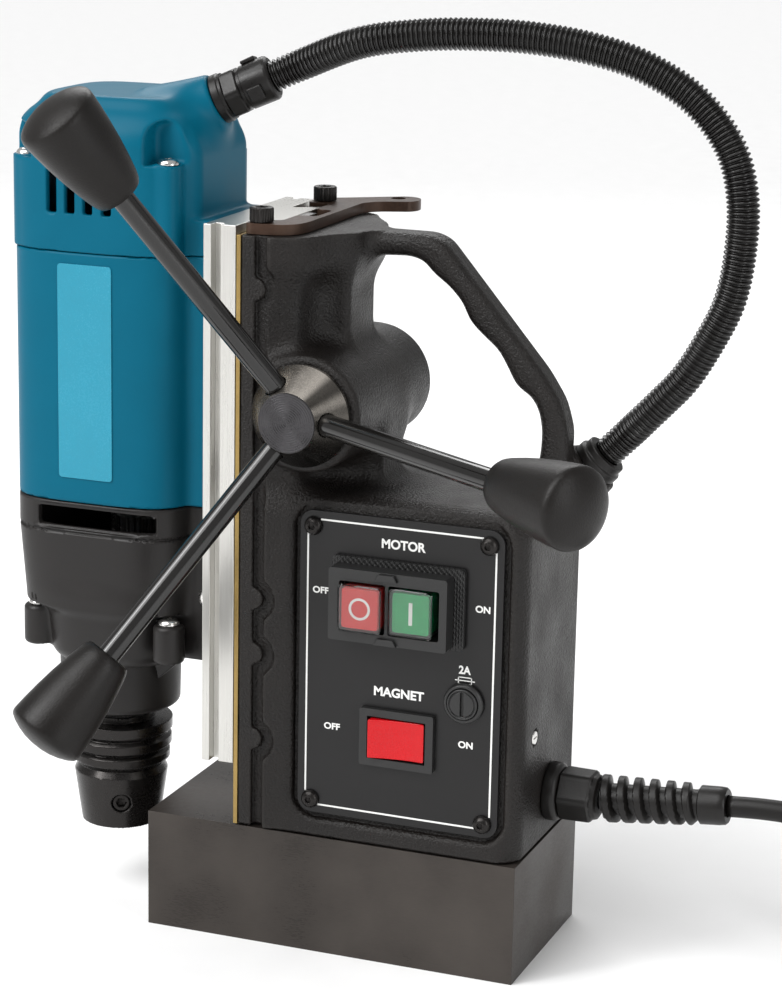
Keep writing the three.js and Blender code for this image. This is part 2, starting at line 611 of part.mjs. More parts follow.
function motorCap() {
  const { x, halfX, halfY, seam, ledge, top } = MOTOR;
  const head = new THREE.ExtrudeGeometry(softSquare(x + 1, halfX - 10, halfY - 12, 3), {
    depth: top - ledge - 8, bevelEnabled: true, bevelThickness: 6, bevelSize: 6, bevelSegments: 1,
  }).translate(0, 0, ledge + 2);
  const hoseBoss = aim(rod(13, -26, -GAP, 20), HOSE_MOTOR.point, HOSE_MOTOR.direction);
  const pad = block(-78, RAIL.front - GAP, -27, 27, seam, RAIL.top - 1);
  const shoulder = block(-84, -68, -27, 27, seam + 1, ledge + 8);
  const skirt = upright(softSquare(x, halfX, halfY), seam, ledge);
  const room = upright(softSquare(x, halfX - 3, halfY - 3), seam - 1, ledge - 3);
  const roof = upright(softSquare(x, halfX - 13, halfY - 13, 3), ledge - 4, top - 4);
  const slots = VENT_SLOTS.x.flatMap((slotX) => [[-60, -30], [30, 60]].map(([y0, y1]) => (
    block(slotX, slotX + VENT_SLOTS.width, y0, y1, VENT_SLOTS.bottom, VENT_SLOTS.top)
  )));
  const wireHole = aim(rod(5.5, -40, 4, 10), HOSE_MOTOR.point, HOSE_MOTOR.direction);
  const shell = solid([skirt, head, pad, shoulder, hoseBoss], [room, roof, ...slots, wireHole]);
  const cupTop = ledge + 24;
  const cup = turned([[13.4, 322], [17, 322], [17, cupTop], [0, cupTop], [0, 340], [13.4, 340], [13.4, 322]], 20);
  return solid([shell, cup.translate(x, 0, 0)]);
}

function armature() {
  const profile = [
    [0, 157.5], [2.5, 157.5], [2.5, 172], [5, 172], [5, 204], [21.8, 204], [21.8, 262], [14, 262],
    [14, 272], [13, 272], [13, 292], [5, 292], [5, 338], [0, 338],
  ];
  const pinion = upright(gearShape(STAGE_1.pinion, STAGE_1.module, towardsLayshaft(MOTOR.x)), 158, 171);
  return solid([turned(profile, 20), pinion]).translate(MOTOR.x, 0, 0);
}

function coolingFan() {
  const disc = turned([[5.3, 189], [33, 189], [33, 192.5], [9, 192.5], [9, 199], [5.3, 199], [5.3, 189]], 16);
  const blades = Array.from({ length: 7 }, (_, i) => (
    block(12, 32, -0.8, 0.8, 192, 199).rotateZ((i / 7) * TURN)
  ));
  return solid([disc, ...blades]).translate(MOTOR.x, 0, 0);
}

function ring(inner, outer, z0, z1, x, segments = 24) {
  return turned([[inner, z0], [outer, z0], [outer, z1], [inner, z1], [inner, z0]], segments).translate(x, 0, 0);
}

function carbonBrush(side) {
  const y = [side * 13.5, side * 36].sort((a, b) => a - b);
  return block(MOTOR.x - 3.5, MOTOR.x + 3.5, y[0], y[1], 275, 288);
}

// ---------------------------------------------------------------- spindle and tool holder
function spindle() {
  const shaft = turned([[0, 82], [9, 82], [9, 110], [8, 110], [8, 153], [0, 153]], 16);
  const gearOutline = gearShape(STAGE_2.gear, STAGE_2.module, towardsLayshaft(SPINDLE.x));
  const gear = upright(gearOutline, STAGE_2.bottom, STAGE_2.top);
  return solid([shaft, gear]).translate(SPINDLE.x, 0, 0);
}

function toolHolder() {
  const bottom = SPINDLE.holderBottom;
  const outside = [
    [0, 81.5], [15, 81.5], [15, 78.5], [23, 78.5], [23, 73.5], [20.6, 72], [22.6, 70.5], [22.6, 66.5],
    [19.8, 65], [21.8, 63.5], [21.8, 60], [19, 57.5], [20.8, 54.5], [17.5, bottom],
  ];
  const bore = [[9.6, bottom], [9.6, 72], [0, 72]];
  const holder = turned([...outside, ...bore].reverse(), 20).translate(SPINDLE.x, 0, 0);
  return solid([holder], SET_SCREW_ANGLES.map((angle) => setScrewShape(angle, 4.3, 5, 30)));
}

const SET_SCREW_ANGLES = [deg(-64), deg(116)];

function setScrewShape(angle, radius, start, end, sides = 16) {
  return aim(rod(radius, start, end, sides), v3(SPINDLE.x, 0, 43), v3(Math.cos(angle), Math.sin(angle), 0));
}

function setScrew(angle) {
  return solid([setScrewShape(angle, 4, 10, 18.2)], [setScrewShape(angle, 2.3, 14.5, 20, 6)]);
}

// ---------------------------------------------------------------- hose
function hoseFitting({ point, direction, start, end }) {
  const collar = start + 4;
  const profile = [
    [6.2, start], [11.2, start], [11.2, collar], [9.6, collar], [9.6, end], [6.2, end], [6.2, start],
  ];
  return aim(turned(profile, 14), point, direction);
}

function pastFitting({ point, direction, end }, distance) {
  return point.clone().addScaledVector(direction, end + distance);
}

// The hose's middle line, from the motor's fitting over the handle to the base's fitting.
const HOSE_ROUTE = [
  pastFitting(HOSE_MOTOR, GAP), pastFitting(HOSE_MOTOR, 12),
  v3(-9.5, 6, 382.6), v3(16, 7, 386.8), v3(41.3, 8, 388.3), v3(66.4, 9, 387.7), v3(91.1, 10, 384.3),
  v3(111.7, 11, 378.1), v3(132.1, 12, 366), v3(146.8, 13, 348.1), v3(152.4, 14, 328.6), v3(152.3, 15, 306.5),
  v3(148.7, 16, 286), v3(141, 17, 268.9), v3(131, 18, 252), v3(121, 19.2, 240.6), v3(113, 19.8, 232),
  pastFitting(HOSE_BASE, 12), pastFitting(HOSE_BASE, GAP),
];

// ---------------------------------------------------------------- mains lead
function alongX(profile, segments = 18) {
  return aim(turned(profile, segments), v3(0, GLAND.y, GLAND.z), v3(1, 0, 0));
}

function lockNut() {
  const [x0, x1] = GLAND.lockNut;
  return alongX([[8.4, x0], [12.6, x0], [12.6, x1 - 1], [11.6, x1], [8.4, x1], [8.4, x0]]);
}

function cordGland() {
  const [x0, x1] = GLAND.body;
  const inside = BOX.right - 10;
  return alongX([
    [5, inside], [8, inside], [8, x0], [11.4, x0], [11.4, x1 - 3], [9.6, x1], [5, x1], [5, inside],
  ]);
}

function strainRelief() {
  const [x0, x1] = GLAND.relief;
  const long = x1 - x0;
  const bore = CORD.radius + GAP;
  const boot = turned([
    [bore, 0], [9.4, 0], [8.6, 14], [7.6, 38], [7.7, 42], [7.7, long], [bore, long], [bore, 0],
  ], 14);
  const root = v3(x0, GLAND.y, GLAND.z);
  return aim(boot, root, v3(x1 + GAP, CORD.start.y, CORD.start.z).sub(root));
}

// The lead's middle line, out of the strain relief, down to the bench and up to the coil.
function leadRoute() {
  const { start, radius, bendRadius } = CORD;
  const flat = v3(186, GLAND.y, 77.6);
  const theta = Math.acos(1 - (flat.z - radius) / (2 * bendRadius));
  const landing = flat.x + 2 * bendRadius * Math.sin(theta);
  const steps = 6;
  const route = [start.clone(), v3(174, GLAND.y, 77.4), flat];
  for (let i = 1; i <= steps; i++) {
    const a = (theta * i) / steps;
    route.push(v3(flat.x + bendRadius * Math.sin(a), GLAND.y, flat.z - bendRadius * (1 - Math.cos(a))));
  }
  for (let i = steps - 1; i >= 0; i--) {
    const a = (theta * i) / steps;
    route.push(v3(landing - bendRadius * Math.sin(a), GLAND.y, radius + bendRadius * (1 - Math.cos(a))));
  }
  route.push(v3(COIL.x, GLAND.y, radius));
  return route;
}

// The wound part of the lead, with the sector cut out where the lead comes in under it.
function mainsCoil() {
  const { x, y, radius, rows } = COIL;
  const half = rows * CORD.radius;
  const [inner, outer, top] = [radius - half, radius + half, 2 * half];
  const profile = [[inner, 0], [outer, 0], [outer, top], [inner, top], [inner, 0]];
  const cut = block(x - 60, x + GAP, -20, GLAND.y + CORD.radius + 0.4, -1, top + 1);
  return solid([turned(profile, 28).translate(x, y, 0)], [cut]);
}

const COIL_TOP = 2 * COIL.rows * CORD.radius;
const PLUG_END = onTailLoop(PLUG.turned, COIL_TOP + GAP + PLUG.radius);
const PLUG_DIRECTION = v3(Math.sin(deg(PLUG.turned)), -Math.cos(deg(PLUG.turned)), 0);

function onTailLoop(angle, z) {
  const { x, y, radius } = TAIL_LOOP;
  return v3(x + radius * Math.cos(deg(angle)), y + radius * Math.sin(deg(angle)), z);
}

// The last of the lead: off the coil's top turn and round in a loop, rising into the plug.
function tailRoute() {
  const { from } = TAIL_LOOP;
  const low = COIL_TOP + GAP + CORD.radius;
  const leave = v3(Math.cos(deg(from)), Math.sin(deg(from)), 0).multiplyScalar(COIL.innerTurn);
  const route = [leave.add(v3(COIL.x, COIL.y, low))];
  const steps = 12;
  for (let i = 0; i < steps; i++) {
    const share = THREE.MathUtils.smoothstep(i, 2, steps - 1);
    route.push(onTailLoop(from + (i / steps) * (PLUG.turned - from), low + share * (PLUG_END.z - low)));
  }
  for (const left of [3, GAP]) route.push(PLUG_END.clone().addScaledVector(PLUG_DIRECTION, left));
  return route;
}

function mainsPlug() {
  const { radius, length } = PLUG;
  const neck = length - 40;
  const body = turned([
    [0, 0], [6.5, 0], [9, neck], [radius - 3, neck + 6], [radius, neck + 14], [radius, length], [0, length],
  ], 24);
  const pins = [-9.5, 9.5].map((x) => rod(2.4, length - 1, length + 19, 10).translate(x, 0, 0));
  return aim(solid([body, ...pins]), PLUG_END, PLUG_DIRECTION.clone().negate());
}

// ---------------------------------------------------------------- the whole machine
const frame = group(
  magnetPieces(),
  named('column_casting', columnCasting(), CAST_PAINT()),
  named('gib_strip_near', gibStrip(-1), BRASS()),
  named('gib_strip_far', gibStrip(1), BRASS()),
  named('top_plate', topPlate(), DARK_STEEL()),
  topPlateScrews(),
  named('control_plate', controlPlate(), BLACK_PLASTIC()),
  panelScrews(),
  named('motor_switch', motorSwitch(), BLACK_PLASTIC()),
  named('magnet_switch', rockerFrame(), BLACK_PLASTIC()),
  named('fuse_holder', fuseHolder(), BLACK_PLASTIC()),
  named('control_board', controlBoard(), finish(0x1d5c38, 0.5, 0)),
  named('feed_bush_near', feedBush(FEED.bossFront, -18), BRASS()),
  named('feed_bush_far', feedBush(18, 41.5), BRASS()),
  named('gland_locknut', lockNut(), BLACK_PLASTIC()),
  named('cord_gland', cordGland(), BLACK_PLASTIC()),
  named('strain_relief', strainRelief(), RUBBER()),
  named('hose_base_fitting', hoseFitting(HOSE_BASE), BLACK_PLASTIC()),
);

const lead = group(
  named('mains_cord', tube(leadRoute(), CORD.radius, CORD.sides, 16), RUBBER()),
  named('mains_coil', mainsCoil(), RUBBER()),
  named('mains_tail', tube(tailRoute(), CORD.radius, CORD.sides, 22), RUBBER()),
  named('mains_plug', mainsPlug(), RUBBER()),
);

const controls = group(
  named('off_button', pushButton(OFF_BUTTON), finish(0xb01c20, 0.4, 0)),
  named('on_button', pushButton(ON_BUTTON), finish(0x1c7a3a, 0.4, 0)),
  named('magnet_rocker', rockerPaddle(), finish(0xd81a1e, 0.3, 0)),
  named('fuse_cap', fuseCap(), BLACK_PLASTIC()),
);

const carriage = group(
  named('slide_rail', slideRail(), ALUMINIUM()),
  named('feed_rack', feedRack(), TURNED_STEEL()),
  named('gear_housing', gearHousing(), BLACK_PLASTIC()),
  named('motor_housing', motorHousing(), TEAL_PLASTIC()),
  named('motor_cap', motorCap(), TEAL_PLASTIC()),
  named('field_stator', ring(22.6, 36, 206, 260, MOTOR.x, 24), DARK_STEEL()),
  named('upper_bearing', ring(5.3, 13.1, 326, 337, MOTOR.x), TURNED_STEEL()),
  named('spindle_bearing', ring(9.3, 17, 95, 108, SPINDLE.x), TURNED_STEEL()),
  named('carbon_brush_near', carbonBrush(-1), RUBBER()),
  named('carbon_brush_far', carbonBrush(1), RUBBER()),
  named('hose_motor_fitting', hoseFitting(HOSE_MOTOR), BLACK_PLASTIC()),
);

const drive = group(
  named('armature', armature(), COPPER()),
  named('cooling_fan', coolingFan(), BLACK_PLASTIC()),
  named('layshaft', layshaft(), TURNED_STEEL()),
  named('spindle', spindle(), TURNED_STEEL()),
  named('tool_holder', toolHolder(), DARK_STEEL()),
  SET_SCREW_ANGLES.map((angle, i) => named(`set_screw_${i + 1}`, setScrew(angle), DARK_STEEL())),
);

const feed = group(
  named('feed_shaft', feedShaft(), TURNED_STEEL()),
  named('feed_hub', feedHub(), TURNED_STEEL()),
  feedHandle(),
);

const hose = named('hose', tube(HOSE_ROUTE, HOSE.radius, HOSE.sides, 26), RUBBER());

const machine = new THREE.Group();
machine.add(frame, lead, controls, carriage, drive, feed, hose);

export default machine;
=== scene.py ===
import itertools
import math

import bmesh
import bpy
import numpy as np
from mathutils import Matrix, Vector
from mathutils.geometry import tessellate_polygon


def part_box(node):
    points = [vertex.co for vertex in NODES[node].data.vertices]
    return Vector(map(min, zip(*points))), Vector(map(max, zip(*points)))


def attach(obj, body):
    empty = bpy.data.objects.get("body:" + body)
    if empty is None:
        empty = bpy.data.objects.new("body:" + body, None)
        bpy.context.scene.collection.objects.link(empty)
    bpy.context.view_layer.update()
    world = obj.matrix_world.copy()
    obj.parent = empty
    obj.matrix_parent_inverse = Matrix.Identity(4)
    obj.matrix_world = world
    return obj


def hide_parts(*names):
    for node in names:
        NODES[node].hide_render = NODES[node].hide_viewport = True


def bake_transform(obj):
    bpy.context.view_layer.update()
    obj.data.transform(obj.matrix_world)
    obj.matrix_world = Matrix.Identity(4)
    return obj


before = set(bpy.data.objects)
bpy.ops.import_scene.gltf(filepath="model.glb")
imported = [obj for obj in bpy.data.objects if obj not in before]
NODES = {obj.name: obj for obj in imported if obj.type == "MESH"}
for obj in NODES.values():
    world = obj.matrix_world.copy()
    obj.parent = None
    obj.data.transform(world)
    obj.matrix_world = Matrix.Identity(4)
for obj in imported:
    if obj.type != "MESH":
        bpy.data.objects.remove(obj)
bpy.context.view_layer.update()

MM = 0.001
TURN = 2 * math.pi
THIN = 0.02  # a radius that stands for a point on the axis
RING_SIDES = 72


def corners(node):
    """Lowest and highest corner of a CAD node, in millimetres."""
    low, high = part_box(node)
    return np.array(low) / MM, np.array(high) / MM


def unit(v):
    v = np.array(v, float)
    return v / np.linalg.norm(v)


def put_in_scene(name, data):
    made = bpy.data.objects.new(name, data)
    bpy.context.scene.collection.objects.link(made)
    return made


def evaluated_mesh(piece):
    bpy.context.view_layer.update()
    return bpy.data.meshes.new_from_object(piece.evaluated_get(bpy.context.evaluated_depsgraph_get()))


def aim(direction):
    """The rotation that points a lamp along a direction."""
    return Vector(direction).to_track_quat("-Z", "Y").to_euler()


# ---------------------------------------------------------------- camera
CAMERA_PLACE = (0.43143, -1.10644, 0.49287)  # metres
AZIMUTH, PITCH, ROLL = math.radians(20.853), math.radians(14.272), math.radians(1.136)
LENS_MM = 103.757


def make_camera():
    """The camera solved from the photograph."""
    back = Vector((math.sin(AZIMUTH) * math.cos(PITCH), -math.cos(AZIMUTH) * math.cos(PITCH), math.sin(PITCH)))
    side = Vector((math.cos(AZIMUTH), math.sin(AZIMUTH), 0))
    up = back.cross(side)
    right = math.cos(ROLL) * side + math.sin(ROLL) * up
    top = -math.sin(ROLL) * side + math.cos(ROLL) * up
    camera = put_in_scene("camera", bpy.data.cameras.new("camera"))
    camera.data.lens = LENS_MM
    camera.data.sensor_width = 36
    rows = zip(right, top, back, CAMERA_PLACE)
    camera.matrix_world = Matrix((*rows, (0, 0, 0, 1)))
    bpy.context.scene.camera = camera


make_camera()


# ---------------------------------------------------------------- materials
def put(tree, kind, output, inputs, **settings):
    """A new shader node's output. Each input is a value, or the output of another node."""
    made = tree.nodes.new("ShaderNode" + kind)
    for key, value in settings.items():
        setattr(made, key, value)
    feed(tree, made, inputs)
    return made.outputs[output]


def feed(tree, node, inputs):
    for key, value in inputs.items():
        if isinstance(value, bpy.types.NodeSocket):
            tree.links.new(value, node.inputs[key])
        else:
            node.inputs[key].default_value = value


def ramp(tree, factor, stops, interpolation="LINEAR"):
    made = put(tree, "ValToRGB", "Color", {"Fac": factor})
    band = made.node.color_ramp
    band.interpolation = interpolation
    while len(band.elements) < len(stops):
        band.elements.new(0.5)
    for element, (place, color) in zip(band.elements, stops):
        element.position, element.color = place, (*color, 1)
    return made


def surface(name, color, rough, metal=0.0, spread=0.3, blotch=45.0, grain=1200.0, bump=0.2, depth=0.00015,
            stretch=(1, 1, 1), rough_spread=0.12, edge_wear_and_highlight=None, specular=0.5, transmission=0.0, pattern=None,
            painted_reflection_centre=None):
    """A procedural finish: blotchy colour, grain in roughness and bump, and lighter edges if asked, partly wear and
    partly painted edge highlight.
    color is linear. blotch and grain are cells per metre, and stretch scales the grain along each axis.
    A pattern takes the grain's place in the bump, and the last argument is the centre of painted highlight and shade:
    light and dark reflection wedges multiplied into the colour."""
    made = bpy.data.materials.new(name)
    made.use_nodes = True
    tree = made.node_tree
    where = put(tree, "TexCoord", "Object", {})
    stretched = put(tree, "Mapping", "Vector", {"Vector": where, "Scale": stretch})
    broad = put(tree, "TexNoise", "Fac", {"Vector": where, "Scale": blotch, "Detail": 4})
    fine = put(tree, "TexNoise", "Fac", {"Vector": stretched, "Scale": grain, "Detail": 3})
    part = put(tree, "Math", 0, {0: broad, 1: 0.65}, operation="MULTIPLY")
    both = put(tree, "Math", 0, {0: fine, 1: 0.35, 2: part}, operation="MULTIPLY_ADD")
    dark = [c * (1 - spread) for c in color]
    light = [min(1, c * (1 + spread)) for c in color]
    tint = ramp(tree, both, [(NOISE_LOW, dark), (NOISE_HIGH, light)])
    # Lighter sharp edges: partly wear, partly painted edge highlight.
    if edge_wear_and_highlight:
        sharp = put(tree, "NewGeometry", "Pointiness", {})
        edge = put(tree, "MapRange", "Result", {"Value": sharp, "From Min": 0.52, "From Max": 0.62})
        worn_and_highlit_edges = put(tree, "Math", 0, {0: edge, 1: broad}, operation="MULTIPLY")
        tint = put(tree, "Mix", "Result", {"Factor": worn_and_highlit_edges, "A": tint, "B": (*edge_wear_and_highlight, 1)}, data_type="RGBA")
    # Painted highlight and shade: reflection wedges about an axis, multiplied into the colour.
    if painted_reflection_centre:
        tint = painted_reflection_wedges(tree, where, tint, painted_reflection_centre)
    gloss = put(tree, "MapRange", "Result", {
        "Value": both, "From Min": NOISE_LOW, "From Max": NOISE_HIGH,
        "To Min": max(0.02, rough - rough_spread), "To Max": min(1, rough + rough_spread)})
    height = pattern(tree, where) if pattern else fine
    relief = put(tree, "Bump", "Normal", {"Strength": bump, "Distance": depth, "Height": height})
    feed(tree, tree.nodes["Principled BSDF"], {
        "Metallic": metal, "Specular IOR Level": specular, "Transmission Weight": transmission,
        "Base Color": tint, "Roughness": gloss, "Normal": relief})
    return made


def painted_reflection_wedges(tree, where, tint, centre):
    """Painted highlight and shade: light and dark wedges about an axis along y, put into the colour where turned steel
    reflects the lamps.
    """
    split = put(tree, "SeparateXYZ", "X", {0: where}).node.outputs
    joined = put(tree, "CombineXYZ", 0, {"X": split["X"], "Y": split["Z"]})
    turn = put(tree, "Mapping", "Vector", {"Vector": joined, "Location": (centre[0] * -MM, -centre[2] * MM, 0)})
    angle = put(tree, "TexGradient", "Fac", {"Vector": turn}, gradient_type="RADIAL")
    painted_highlight_and_shade = ramp(tree, angle, [(place, (level, level * 0.97, level * 0.92)) for place, level in PAINTED_REFLECTION_LEVELS], "EASE")
    return put(tree, "Mix", "Result", {"Factor": 1, "A": tint, "B": painted_highlight_and_shade}, data_type="RGBA", blend_type="MULTIPLY")


def wave(kind, direction, scale, centre=(0, 0, 0), distortion=0.0):
    """A pattern of bands or rings for the bump, about a centre in millimetres."""
    def build(tree, where):
        moved = put(tree, "Mapping", "Vector", {"Vector": where, "Location": [-c * MM for c in centre]})
        return put(tree, "TexWave", "Fac", {"Vector": moved, "Scale": scale, "Distortion": distortion},
                   wave_type=kind, **{f"{kind.lower()}_direction": direction})
    return build


def grid_pattern(first, second, scale):
    """Two crossed sets of bands, for a knurled or moulded grid."""
    def build(tree, where):
        sets = [wave("BANDS", direction, scale)(tree, where) for direction in (first, second)]
        return put(tree, "Math", 0, dict(enumerate(sets)), operation="MULTIPLY")
    return build


NOISE_LOW, NOISE_HIGH = 0.3, 0.7  # the middle of what the noise gives, stretched over colour and gloss
# Painted reflection: brightness of the light and dark wedges round the feed hub, by angle about its axis.
PAINTED_REFLECTION_LEVELS = [(0.0, 0.5), (0.17, 0.4), (0.33, 0.4), (0.47, 0.5), (0.54, 1.5), (0.57, 3.4), (0.605, 0.8), (0.633, 1.2),
          (0.667, 7.0), (0.72, 4.5), (0.765, 2.2), (0.83, 1.3), (0.94, 0.6), (1.0, 0.5)]
FEED_X, FEED_Z = -12.5, 235.3
FEED_CENTRE = (FEED_X, 0, FEED_Z)
MAT = {
    # Cast, magnet and plate get lighter sharp edges: partly wear, partly painted edge highlight.
    "cast": surface("cast_paint", (0.0082, 0.0066, 0.0058), 0.43, grain=950, bump=1.0, depth=0.0007, spread=0.4,
                    edge_wear_and_highlight=(0.035, 0.031, 0.028), rough_spread=0.14, specular=0.3),
    "magnet": surface("magnet_steel", (0.025, 0.02, 0.0175), 0.36, metal=0.35, grain=420, stretch=(1, 1, 9), bump=0.3,
                      depth=0.0001, blotch=22, spread=0.55, rough_spread=0.18, edge_wear_and_highlight=(0.1, 0.09, 0.08), specular=0.3),
    "teal": surface("teal_plastic", (0.0, 0.1, 0.165), 0.4, spread=0.05, grain=2200, bump=0.12, depth=0.00006,
                    rough_spread=0.05, specular=0.1),
    "gearcase": surface("gearcase_plastic", (0.0112, 0.0098, 0.0093), 0.42, grain=1500, bump=0.35, spread=0.25,
                        specular=0.32),
    "knob": surface("knob_plastic", (0.0062, 0.005, 0.0043), 0.4, grain=1500, bump=0.55, depth=0.0002, spread=0.25,
                    specular=0.26),
    "spoke": surface("spoke_steel", (0.006, 0.0054, 0.005), 0.13, grain=900, bump=0.05, depth=0.00003, blotch=40,
                     spread=0.2, rough_spread=0.04, specular=0.6),
    # The hub's colour carries painted reflection wedges, light and dark, about the feed axis.
    "hub": surface("hub_steel", (0.1, 0.095, 0.09), 0.25, metal=0.95, spread=0.15, bump=0.12, depth=0.00004,
                   pattern=wave("RINGS", "Y", 700, FEED_CENTRE, 0.3), painted_reflection_centre=FEED_CENTRE),
    "hub_face": surface("hub_face_steel", (0.06, 0.058, 0.061), 0.3, metal=0.9, spread=0.3, blotch=130, bump=0.8,
                        depth=0.00012, pattern=wave("RINGS", "Y", 330, FEED_CENTRE, 0.3)),
    "rail": surface("rail_aluminium", (0.62, 0.61, 0.58), 0.3, metal=0.95, grain=1300, stretch=(1, 1, 0.03), bump=0.5,
                    depth=0.00007, blotch=6, spread=0.12, rough_spread=0.06),
    "brass": surface("brass", (0.34, 0.235, 0.085), 0.36, metal=0.9, grain=700, bump=0.15, spread=0.18),
    "plate": surface("plate_steel", (0.036, 0.0185, 0.0115), 0.38, metal=0.4, grain=900, bump=0.25, spread=0.5,
                     blotch=30, edge_wear_and_highlight=(0.13, 0.085, 0.06), specular=0.3),
    "screw": surface("black_screws", (0.022, 0.02, 0.019), 0.3, metal=0.75, grain=1500, bump=0.15, spread=0.25),
    "bright": surface("bright_screws", (0.75, 0.74, 0.72), 0.22, metal=1, grain=1500, bump=0.1, spread=0.1),
    "tool": surface("tool_steel", (0.03, 0.028, 0.027), 0.26, metal=0.85, bump=0.25, depth=0.00004, spread=0.2,
                    pattern=wave("BANDS", "Z", 900, distortion=0.6)),
    "steel": surface("machined_steel", (0.4, 0.39, 0.38), 0.28, metal=1, bump=0.12, spread=0.15),
    "panel": surface("panel", (0.0078, 0.0074, 0.0076), 0.34, grain=2600, bump=0.12, depth=0.00005, blotch=25,
                     spread=0.25, rough_spread=0.07, specular=0.34),
    "print": surface("white_print", (0.78, 0.78, 0.76), 0.5, grain=3000, bump=0.1, spread=0.06),
    "switch": surface("switch_plastic", (0.012, 0.012, 0.012), 0.4, grain=2000, bump=0.25, spread=0.2),
    "gasket": surface("gasket_rubber", (0.008, 0.008, 0.008), 0.5, bump=1.0, depth=0.0005, spread=0.2,
                      pattern=grid_pattern("DIAGONAL", "X", 260)),
    "red": surface("red_button", (0.6, 0.018, 0.014), 0.35, grain=2600, bump=0.1, spread=0.1, specular=0.3),
    "green": surface("green_button", (0.0, 0.29, 0.085), 0.35, grain=2600, bump=0.1, spread=0.1, specular=0.3),
    "rocker": surface("rocker_red", (0.52, 0.003, 0.007), 0.24, bump=0.3, depth=0.0001, spread=0.08, specular=0.35,
                      pattern=grid_pattern("X", "Z", 480)),
    "clear": surface("clear_cover", (0.99, 0.99, 0.985), 0.03, grain=400, bump=0.03, spread=0.01, rough_spread=0.01,
                     transmission=1.0, specular=0.12),
    "hose": surface("hose_plastic", (0.0042, 0.0036, 0.0032), 0.27, grain=1600, bump=0.12, spread=0.2, specular=0.4),
    "fitting": surface("fitting_plastic", (0.0068, 0.006, 0.0055), 0.38, grain=1300, bump=0.25, spread=0.25,
                       specular=0.32),
    "rubber": surface("cord_rubber", (0.0052, 0.0044, 0.004), 0.45, grain=1400, bump=0.25, spread=0.25,
                      specular=0.28),
    "copper": surface("copper_winding", (0.5, 0.18, 0.07), 0.3, metal=0.9, bump=0.6, depth=0.0004, spread=0.2,
                      pattern=wave("BANDS", "Z", 320)),
    "potting": surface("potting", (0.03, 0.026, 0.022), 0.5, grain=300, bump=0.2, spread=0.3),
    "board": surface("circuit_board", (0.012, 0.09, 0.035), 0.4, grain=500, bump=0.3, spread=0.4),
    "laminations": surface("laminations", (0.16, 0.16, 0.16), 0.4, metal=0.9, bump=0.6, depth=0.0003,
                           pattern=wave("BANDS", "Z", 500)),
    "carbon": surface("carbon", (0.02, 0.02, 0.021), 0.6, grain=900, bump=0.3, spread=0.3),
    "label": surface("name_plate", (0.02, 0.235, 0.34), 0.24, grain=1500, blotch=14, bump=0.02, spread=0.12,
                     rough_spread=0.05, specular=0.3),
}


# ---------------------------------------------------------------- mesh helpers
def add(name, points, faces, material, body, smooth=38, tidy=True):
    """A mesh object on a CAD body. points are millimetres; edges sharper than `smooth` degrees stay crisp."""
    mesh = bpy.data.meshes.new(name)
    mesh.from_pydata((np.asarray(points, float) * MM).tolist(), [], faces)
    if tidy:
        bm = bmesh.new()
        bm.from_mesh(mesh)
        bmesh.ops.remove_doubles(bm, verts=bm.verts, dist=1e-7)
        bmesh.ops.recalc_face_normals(bm, faces=bm.faces)
        bm.to_mesh(mesh)
        bm.free()
    mesh.shade_smooth()
    if smooth:
        mesh.set_sharp_from_angle(angle=math.radians(smooth))
    mesh.materials.append(MAT[material])
    piece = put_in_scene(name, mesh)
    if body:
        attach(piece, body)
    return piece


def bevel(piece, width=0.4):
    """Rounded edges on top of welded points. width is millimetres."""
    piece.modifiers.new("weld", "WELD").merge_threshold = 1e-5
    modifier = piece.modifiers.new("bevel", "BEVEL")
    modifier.width = width * MM
    modifier.segments = 2
    modifier.angle_limit = math.radians(40)
    modifier.harden_normals = True
    return piece


def ring_faces(rings, count, wrap=False):
    """Quads between rings of `count` points each, and end caps unless the rings wrap round."""
    faces = []
    for i in range(rings if wrap else rings - 1):
        a, b = i * count, (i + 1) % rings * count
        faces += [(a + j, a + (j + 1) % count, b + (j + 1) % count, b + j) for j in range(count)]
    if not wrap:
        faces += [tuple(range(count))[::-1], tuple(range((rings - 1) * count, rings * count))]
    return faces


def loft(name, rings, material, body, wrap=False, **more):
    rings = np.asarray(rings, float)
    return add(name, rings.reshape(-1, 3), ring_faces(rings.shape[0], rings.shape[1], wrap), material, body, **more)


def soften(points, radius, steps=3, closed=True):
    """Rounds the corners of a 2-D outline or profile."""
    points = [np.array(p, float) for p in points]
    made = []
    for i, p in enumerate(points):
        if not closed and i in (0, len(points) - 1):
            made.append(p)
            continue
        before, after = points[i - 1] - p, points[(i + 1) % len(points)] - p
        cut = min(radius, np.linalg.norm(before) * 0.48, np.linalg.norm(after) * 0.48)
        start, end = p + unit(before) * cut, p + unit(after) * cut
        for t in np.linspace(0, 1, steps + 1):
            made.append((1 - t) ** 2 * start + 2 * t * (1 - t) * p + t ** 2 * end)
    return made


def basis(direction):
    """Two unit vectors square to a direction."""
    d = unit(direction)
    u = unit(np.cross([0, 0, 1] if abs(d[2]) < 0.9 else [0, 1, 0], d))
    return u, np.cross(d, u)


def circle3(u, v, sides):
    """A unit circle in the plane of u and v, as rows."""
    angles = np.arange(sides) / sides * TURN
    return np.cos(angles)[:, None] * u + np.sin(angles)[:, None] * v


def round_ring(at, direction, distance, radius, sides=RING_SIDES):
    """A ring about an axis, with one radius or one for each of its points."""
    centre = np.array(at) + unit(direction) * distance
    return centre + np.broadcast_to(radius, sides)[:, None] * circle3(*basis(direction), sides)


def hexagon(size):
    """The radius of a hexagon at as many points as a round ring has, so that it joins one."""
    part = TURN / 6
    local = np.arange(RING_SIDES) / RING_SIDES * TURN % part - part / 2
    return size * math.cos(part / 2) / np.cos(local)


